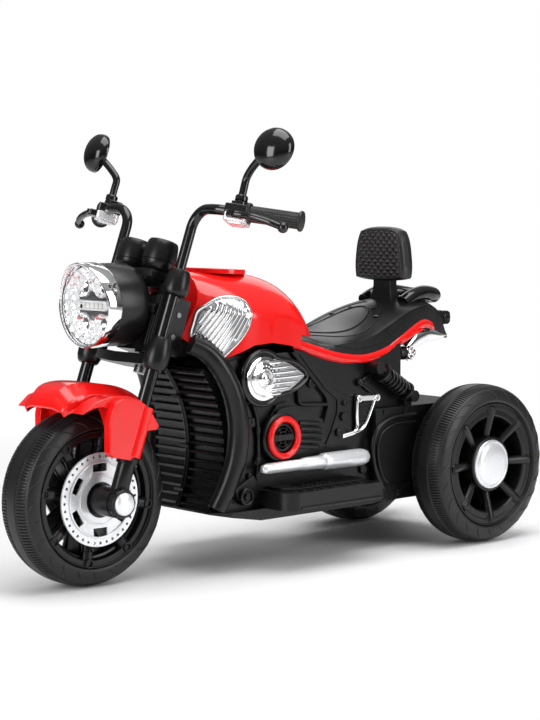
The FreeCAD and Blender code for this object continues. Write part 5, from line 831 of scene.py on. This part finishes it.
def boards():
    """A raised inner step, slanting treads and a rolled outer edge on each footboard."""
    form = Form()
    step = [(-66, 90), (-60, 86), (96, 86), (102, 90), (102, 122), (92, 130), (-52, 130), (-66, 118)]
    form.slab(step, 117, 121.5, PLAN)
    for number in range(7):
        y = -30 + number * 9
        form.slab([(y, 98), (y + 4, 98), (y + 8, 120), (y + 4, 120)], 121, 123.2, PLAN)
    form.tube([(152, -58, 96), (152, 106, 96)], 2.2)
    form.made("board_steps", "chassis", "black_plastic", edge=0.9, twin=True)


def housing():
    """Two raised lines and screws on the rear housing's sides, and a stepped plate on its back."""
    form = Form()
    outer = [(97, 166, 96), (97, 158, 108), (97, 146, 134), (97, 142, 161), (97, 149, 184), (97, 166, 198),
             (97, 193, 205), (97, 236, 205)]
    form.tube(smooth_line(outer), 4.2, sides=16)
    inner = [(96, 178, 104), (96, 168, 112), (96, 157, 136), (96, 154, 160), (96, 160, 178), (96, 174, 188),
             (96, 198, 194), (96, 236, 194)]
    form.tube(smooth_line(inner), 2.4, sides=12)
    for y, z in ((170, 213), (214, 213), (156, 88), (200, 86)):
        form.lathe([(5, 95), (5, 98), (4, 99), (TIP, 99)], side(y, z, 0), 24)
    form.made("housing_rims", "chassis", "black_plastic", twin=True)
    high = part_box("axle_housing")[1] * 1000
    back = moved(0, high.y - 1, 0) @ tilted(-pi / 2) @ Matrix.Scale(-1, 4, (0, 1, 0))
    plates = Form()
    for wide in (0.74, 0.68):
        half = high.x * wide
        plates.slab(oblong(-half, 92, half, 150), -0.5, 3.4 - wide * 2, back)
    plates.made("housing_plate", "chassis", "black_plastic", edge=0.6)


# Frame, seat and tail

def frame_tubes():
    """The fat frame tubes beside the radiator, and the clips down its middle."""
    line = smooth_line([(72, -199, 337), (80, -178, 325), (88, -161, 305), (92, -145, 278), (95, -135, 248),
                        (96, -130, 211), (95, -133, 175), (92, -140, 147), (88, -150, 121), (84, -162, 97)], 6)
    sizes = [13.5 + 2.2 * sin(pi * step / (len(line) - 1)) for step in range(len(line))]
    tubes = Form().tube(line, sizes, sides=28)
    tubes.made("frame_arcs", "chassis", "black_plastic", "radiator_frames", 1.2, True)
    clips = Form()
    panel = Skin("radiator_panel")
    for z in (254, 181, 118):
        front = panel.hit((0, -400, z), (0, 1, 0))
        y = front.y if front else -190
        at = moved(0, y, z) @ tilted(pi / 2)
        clips.slab([(-9, -2.6), (9, -2.6), (11, 0), (9, 2.6), (-9, 2.6), (-11, 0)], -1, 4, at)
    clips.made("pipe_clips", "chassis", "black_plastic", edge=0.8)


def stripes():
    """The coloured lines along the seat's lower edge, rounded over and drawn to a blunt end."""
    low = smooth_line([(-16, 322), (2, 317), (46, 304), (88, 294), (133, 289), (180, 296), (217, 312), (259, 331),
                       (284, 337), (305, 335), (322, 327)])
    high = smooth_line([(-16, 336), (2, 331), (46, 318), (88, 308), (133, 304), (180, 312), (217, 327), (259, 344),
                        (286, 350), (308, 346), (325, 337)])
    base = Skin("seat_base")
    cols, missed, proud = 10, 80, 5.2
    rows = []
    for number, (a, b) in enumerate(zip(low, high)):
        end = min(1, (len(low) - 1 - number) / 5)
        row = []
        for col in range(cols + 1):
            share = col / cols
            spot = a.lerp(b, 0.5 + (share - 0.5) * (0.35 + 0.85 * end ** 0.5))
            swell = sin(pi * share) ** 0.45
            x = max(base.left(spot.x, spot.y + 1.5, missed), 87 - max(0, spot.x - 40) * 0.13)
            row.append((x - 1.5 + proud * swell * (0.4 + 0.6 * end), spot.x, spot.y))
        rows.append(row)
    Form().grid(rows).made("seat_lines", "chassis", "red_gloss", "seat_stripes", twin=True, angle=60)


def saddle_lines():
    """The seam round the saddle's panel, the open seam outside it and two screw wells."""
    skin = Skin("seat_saddle")
    form = Form()
    missed, well_y = 330, 214
    oval = []
    for turn in turns(64):
        x, y = 46 * cos(turn), 150 + 66 * sin(turn) - 6 * cos(turn) ** 2
        oval.append((x, y, skin.top(x, y, missed) + 0.2))
    form.tube(oval, 1.3, closed=True, sides=8)
    outer = []
    for step in range(97):
        turn = pi * (0.06 + 1.88 * step / 96) + pi / 2
        x, y = 68 * cos(turn) * (1 - 0.12 * sin(turn)), 152 + 86 * sin(turn)
        outer.append((x, y, skin.top(x, y, missed) + 0.1))
    form.tube(outer, 1.0, sides=8)
    form.made("saddle_seams", "chassis", "black_plastic")
    wells = Form()
    for x in (-26, 26):
        at = moved(x, well_y, skin.top(x, well_y, 350))
        wells.lathe([(4.6, 0), (4.6, 0.9), (3.4, 1.2), (3, 0.5), (TIP, 0.5)], at, 24)
    wells.made("saddle_wells", "chassis", "black_gloss")


def tail_trim():
    """The plated sweeps under the tail, given as (y, z, half height), and the small side lamps."""
    middle = smooth_line([(254, 304, 8), (266, 311, 12), (278, 318, 15), (292, 323, 15), (306, 326, 13),
                          (322, 324, 11), (336, 322, 5), (346, 322, 0.6)], 5)
    rows = []
    for spot in middle:
        row = []
        for col in range(13):
            share = col / 6 - 1
            x = 50 + 12 * (1 - abs(share) ** 2.2) ** 0.5
            row.append((x, spot.x - 3 * share, spot.y + spot.z * share))
        rows.append(row)
    Form().grid(rows).made("tail_trim_curved", "chassis", "plated", "tail_trim", twin=True, angle=60)
    back = moved(70, 0, 300) @ tilted(-pi / 2)
    holder = Form().lathe([(6, 222), (9.4, 224), (10.4, 228), (10.4, 237), (9, 238.5)], back, 36)
    holder.tube([(70, 232, 300), (56, 236, 308), (48, 240, 318)], 5)
    holder.made("side_lamp_holders", "chassis", "black_plastic", "tail_lamps", 0.6, True)
    body = Form().lathe([(9.2, 238), (10.6, 240), (11, 245), (10.4, 250), (8.6, 253.5), (7.4, 254)], back, 20)
    for along, size, shift in ((240.5, 10.2, 0), (246, 10.8, 0.5), (251, 9.8, 0)):
        for bead in range(10):
            turn = 2 * pi * (bead + shift) / 10
            body.ball(back @ Vector((size * cos(turn), size * sin(turn), along)), 1.9, 8)
    body.made("side_lamp_bodies", "chassis", "plated", twin=True, angle=40)
    lens = Form().lathe([(8.4, 253), (8.4, 255), (7, 257.4), (3.6, 258.8), (TIP, 259)], back, 36)
    lens.made("side_lamp_lenses", "chassis", "red_lens", "tail_lenses", twin=True)


def grab_handle():
    """The fat bent handle behind the backrest, and the drilled plate below it."""
    line = smooth_line([(44, 262, 376), (43, 284, 386), (42, 308, 391), (39, 330, 389), (28, 350, 385),
                        (12, 358, 383), (0, 359, 383)], 6)
    line = line + [Vector((-p.x, p.y, p.z)) for p in line[-2::-1]]
    form = Form().tube(line, 11.6, sides=24)
    outline = [(356, 335), (402, 335), (407, 338), (408, 346), (407, 354), (402, 357), (350, 357)]
    form.slab(outline, -12, -3, SIDE)
    form.slab(outline, 3, 12, SIDE)
    form.slab(oblong(352, 337, 386, 355), -4, 4, SIDE)
    ring = [(6.4, 0), (6.4, 1.2), (5.8, 1.8), (4.4, 1.8), (4.1, 1.2), (4.1, 0.2), (TIP, 0.2)]
    for x, flip in zip((12, -12), BOTH_ENDS):
        form.lathe(ring, side(398, 346, x) @ flip, 28)
    form.made("grab_handle", "chassis", "black_gloss", "grab_rail", 0.8)


def guard_arms():
    """The broad panels that join the mudguard to the fork tubes."""
    form = Form()
    arm = [(-353, 246), (-355, 236), (-355, 196), (-349, 190), (-318, 183), (-310, 188), (-295, 222), (-274, 222),
           (-269, 227), (-279, 243), (-293, 259), (-305, 267), (-331, 271), (-346, 264)]
    form.slab(arm, 74, 88.5, SIDE)
    wing = [(-392, 251), (-383, 255), (-369, 259), (-356, 259), (-347, 254), (-342, 244), (-338, 230), (-300, 225),
            (-268, 232), (-285, 257), (-300, 267), (-317, 272), (-346, 273), (-374, 266)]
    form.slab(wing, 50, 78, SIDE)
    form.made("guard_panels", "steering", "red_gloss", edge=3, twin=True)


PAD_Y, PAD_LOW, PAD_HIGH = 251, 411, 496
PAD_MIDDLE, PAD_TALL = (PAD_LOW + PAD_HIGH) / 2, PAD_HIGH - PAD_LOW
PLAIN_FROM = 0.88


def pad_point(u, v):
    """A point of the pad's face, from shares of its half width and half height."""
    edge = max(abs(u), abs(v), 1e-6)
    corner = 0.5 if v > 0 else 0.3
    draw = 1 + (edge / max(1e-6, hypot(u, v)) - 1) * corner * edge ** 4 * min(abs(u), abs(v)) / edge
    z = PAD_MIDDLE + v * draw * PAD_TALL / 2
    half = 58 - 11 * (z - PAD_LOW) / PAD_TALL
    rim = max(0, (edge - PLAIN_FROM) / 0.12)
    bulge = 4 * (1 - (u * u + v * v) * 0.4) - 6 * rim ** 2.2
    if edge < PLAIN_FROM:
        p, q = u * 3.9 + v * 3.6, u * 3.9 - v * 3.6
        puff = (abs(sin(pi * p)) * abs(sin(pi * q))) ** 0.75
        quilt = 3 * puff * min(1, (PLAIN_FROM - edge) * 14) - 1.4
    else:
        quilt = -1.4 * max(0, 1 - (edge - PLAIN_FROM) / 0.025)
    return u * draw * half, PAD_Y - bulge - quilt, z


def backrest():
    """The pad, a crowned cushion quilted in small diamonds inside a plain rolled edge, and its post."""
    count = 120
    shares = [step / count * 2 - 1 for step in range(count + 1)]
    rows = [[pad_point(u, v) for u in shares] for v in shares]
    form = Form().grid(rows)
    border = rows[0][:-1] + [row[-1] for row in rows[:-1]] + rows[-1][:0:-1] + [row[0] for row in rows[:0:-1]]
    first = 6
    back = []
    for share, depth in ((1.0, first), (1.012, 13), (1.0, 19), (0.95, 24), (0.85, 26.5), (0.4, 27.5)):
        ring = []
        for x, y, z in border:
            behind = PAD_Y + depth if depth > first else max(y, PAD_Y + 4)
            ring.append((x * share, behind, PAD_MIDDLE + (z - PAD_MIDDLE) * share))
        back.append(ring)
    form.grid([border] + back, around=True)
    form.add(back[-1], [range(len(border))])
    pad = form.made("backrest_quilted", "chassis", "padding", "backrest_pad", angle=75)
    post_y = 266
    rows = []
    for z, half, deep in ((378, 26, 12), (386, 22.5, 10), (394, 20, 8.6), (404, 19, 8), (413, 19, 8)):
        front, rear = post_y - deep, post_y + deep
        rows.append([(-half, front, z), (-half * 0.35, front + 2, z), (half * 0.35, front + 2, z),
                     (half, front, z), (half, rear, z), (-half, rear, z)])
    post = Form().grid(rows, around=True)
    post.made("backrest_stem", "chassis", "black_plastic", "backrest_post", 1.5)


for make in (tyres, front_rim, rear_rims, front_axle, headlamp, reflector, gauges, fork_clamps, grips, controls,
             mirrors, grilles, air_cleaners, engine, relief, pegs, exhausts, boards, housing, frame_tubes, stripes,
             saddle_lines, tail_trim, grab_handle, guard_arms, backrest):
    make()
PLAIN_EDGE = 0.0007
WIDE_EDGES = {"front_mudguard": 0.0016, "tank_cap": 0.001, "seat_saddle": 0.002, "seat_base": 0.002,
              "footboards": 0.0025, "axle_housing": 0.004, "lower_tray": 0.0025}
shown = {node for made in scene.objects for node in made.get("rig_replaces", [])}
for node in frame["nodes"]:
    if node not in shown:
        dress(node, WIDE_EDGES.get(node, PLAIN_EDGE))


# Stage: a pale floor that fades into a white surround

def floor():
    """A pale floor that keeps the shadow and fades to white, with painted shade that makes it a little greyer
    towards the front left.
    """
    mesh = bpy.data.meshes.new("floor")
    size = 6.0
    mesh.from_pydata([(-size, -size, 0), (size, -size, 0), (size, size, 0), (-size, size, 0)], [], [(0, 1, 2, 3)])
    linked("floor", mesh)
    finish = bpy.data.materials.new("floor")
    finish.use_nodes = True
    kit = Nodes(finish.node_tree)
    shader = finish.node_tree.nodes["Principled BSDF"]
    shader.inputs["Base Color"].default_value = (0.88, 0.88, 0.89, 1)
    shader.inputs["Roughness"].default_value = 0.55
    place = kit.add("TexCoord").outputs["Object"]
    far = kit.add("VectorMath", {0: place}, operation="LENGTH").outputs["Value"]
    share = kit.math("MULTIPLY", kit.span(far, 0, 1, 0.55, 1.6), kit.seen())
    # Painted shade: grey dims the white the camera sees on the floor towards the front left. It is strongest near
    # the object and gone past 2.4 m.
    toward = kit.add("VectorMath", {0: place, 1: (0.74, -0.67, 0)}, operation="DOT_PRODUCT").outputs["Value"]
    grey = kit.math("MULTIPLY", kit.span(toward, 0, 0.26, -0.2, 1.0), kit.span(far, 1.0, 0.0, 1.1, 2.4))
    level = kit.math("SUBTRACT", 1.0, grey)
    white = kit.add("Emission", {"Color": (1, 1, 1, 1), "Strength": level}).outputs[0]
    mixed = kit.add("MixShader", {0: share, 1: shader.outputs[0], 2: white}).outputs[0]
    finish.node_tree.links.new(mixed, finish.node_tree.nodes["Material Output"].inputs[0])
    mesh.materials.append(finish)


def surround(level):
    """White where the camera looks at it, also through glass, and a grey that grows upward as light."""
    world = bpy.data.worlds.new("surround")
    world.use_nodes = True
    scene.world = world
    kit = Nodes(world.node_tree)
    up = kit.add("SeparateXYZ", {0: kit.add("TexCoord").outputs["Generated"]}).outputs["Z"]
    plain = kit.span(up, level * 0.3, level * 2.2, 0.0, 0.9)
    back = world.node_tree.nodes["Background"]
    back.inputs["Color"].default_value = (1, 1, 1, 1)
    world.node_tree.links.new(kit.math("MAXIMUM", plain, kit.seen()), back.inputs["Strength"])


def lamp(name, spot, aim, size, power):
    light = bpy.data.lights.new(name, "AREA")
    light.shape = "RECTANGLE"
    light.size, light.size_y = size
    light.energy = power
    made = linked(name, light)
    made.location = spot
    made.rotation_euler = (Vector(aim) - Vector(spot)).to_track_quat("-Z", "Y").to_euler()
    made.visible_camera = False


def camera():
    data = bpy.data.cameras.new("camera")
    data.sensor_width = 36.0
    data.lens = 96.34
    made = linked("camera", data)
    made.location = (2.162, -1.939, 0.549)
    made.rotation_euler = (radians(90 - 4.94), 0, radians(47.85))
    scene.camera = made


scene.view_settings.view_transform = "Standard"
floor()
surround(0.20)
lamp("top", (0.3, 0.1, 2.4), (0, 0, 0.3), (1.9, 1.9), 52)
lamp("key", (2.1, 0.9, 1.0), (0, 0, 0.3), (0.9, 1.5), 24)
lamp("front", (0.2, -2.4, 0.95), (0, 0, 0.3), (1.0, 1.4), 32)
lamp("back", (-1.8, 2.0, 1.7), (0, 0.1, 0.35), (2.0, 1.4), 11)
camera()
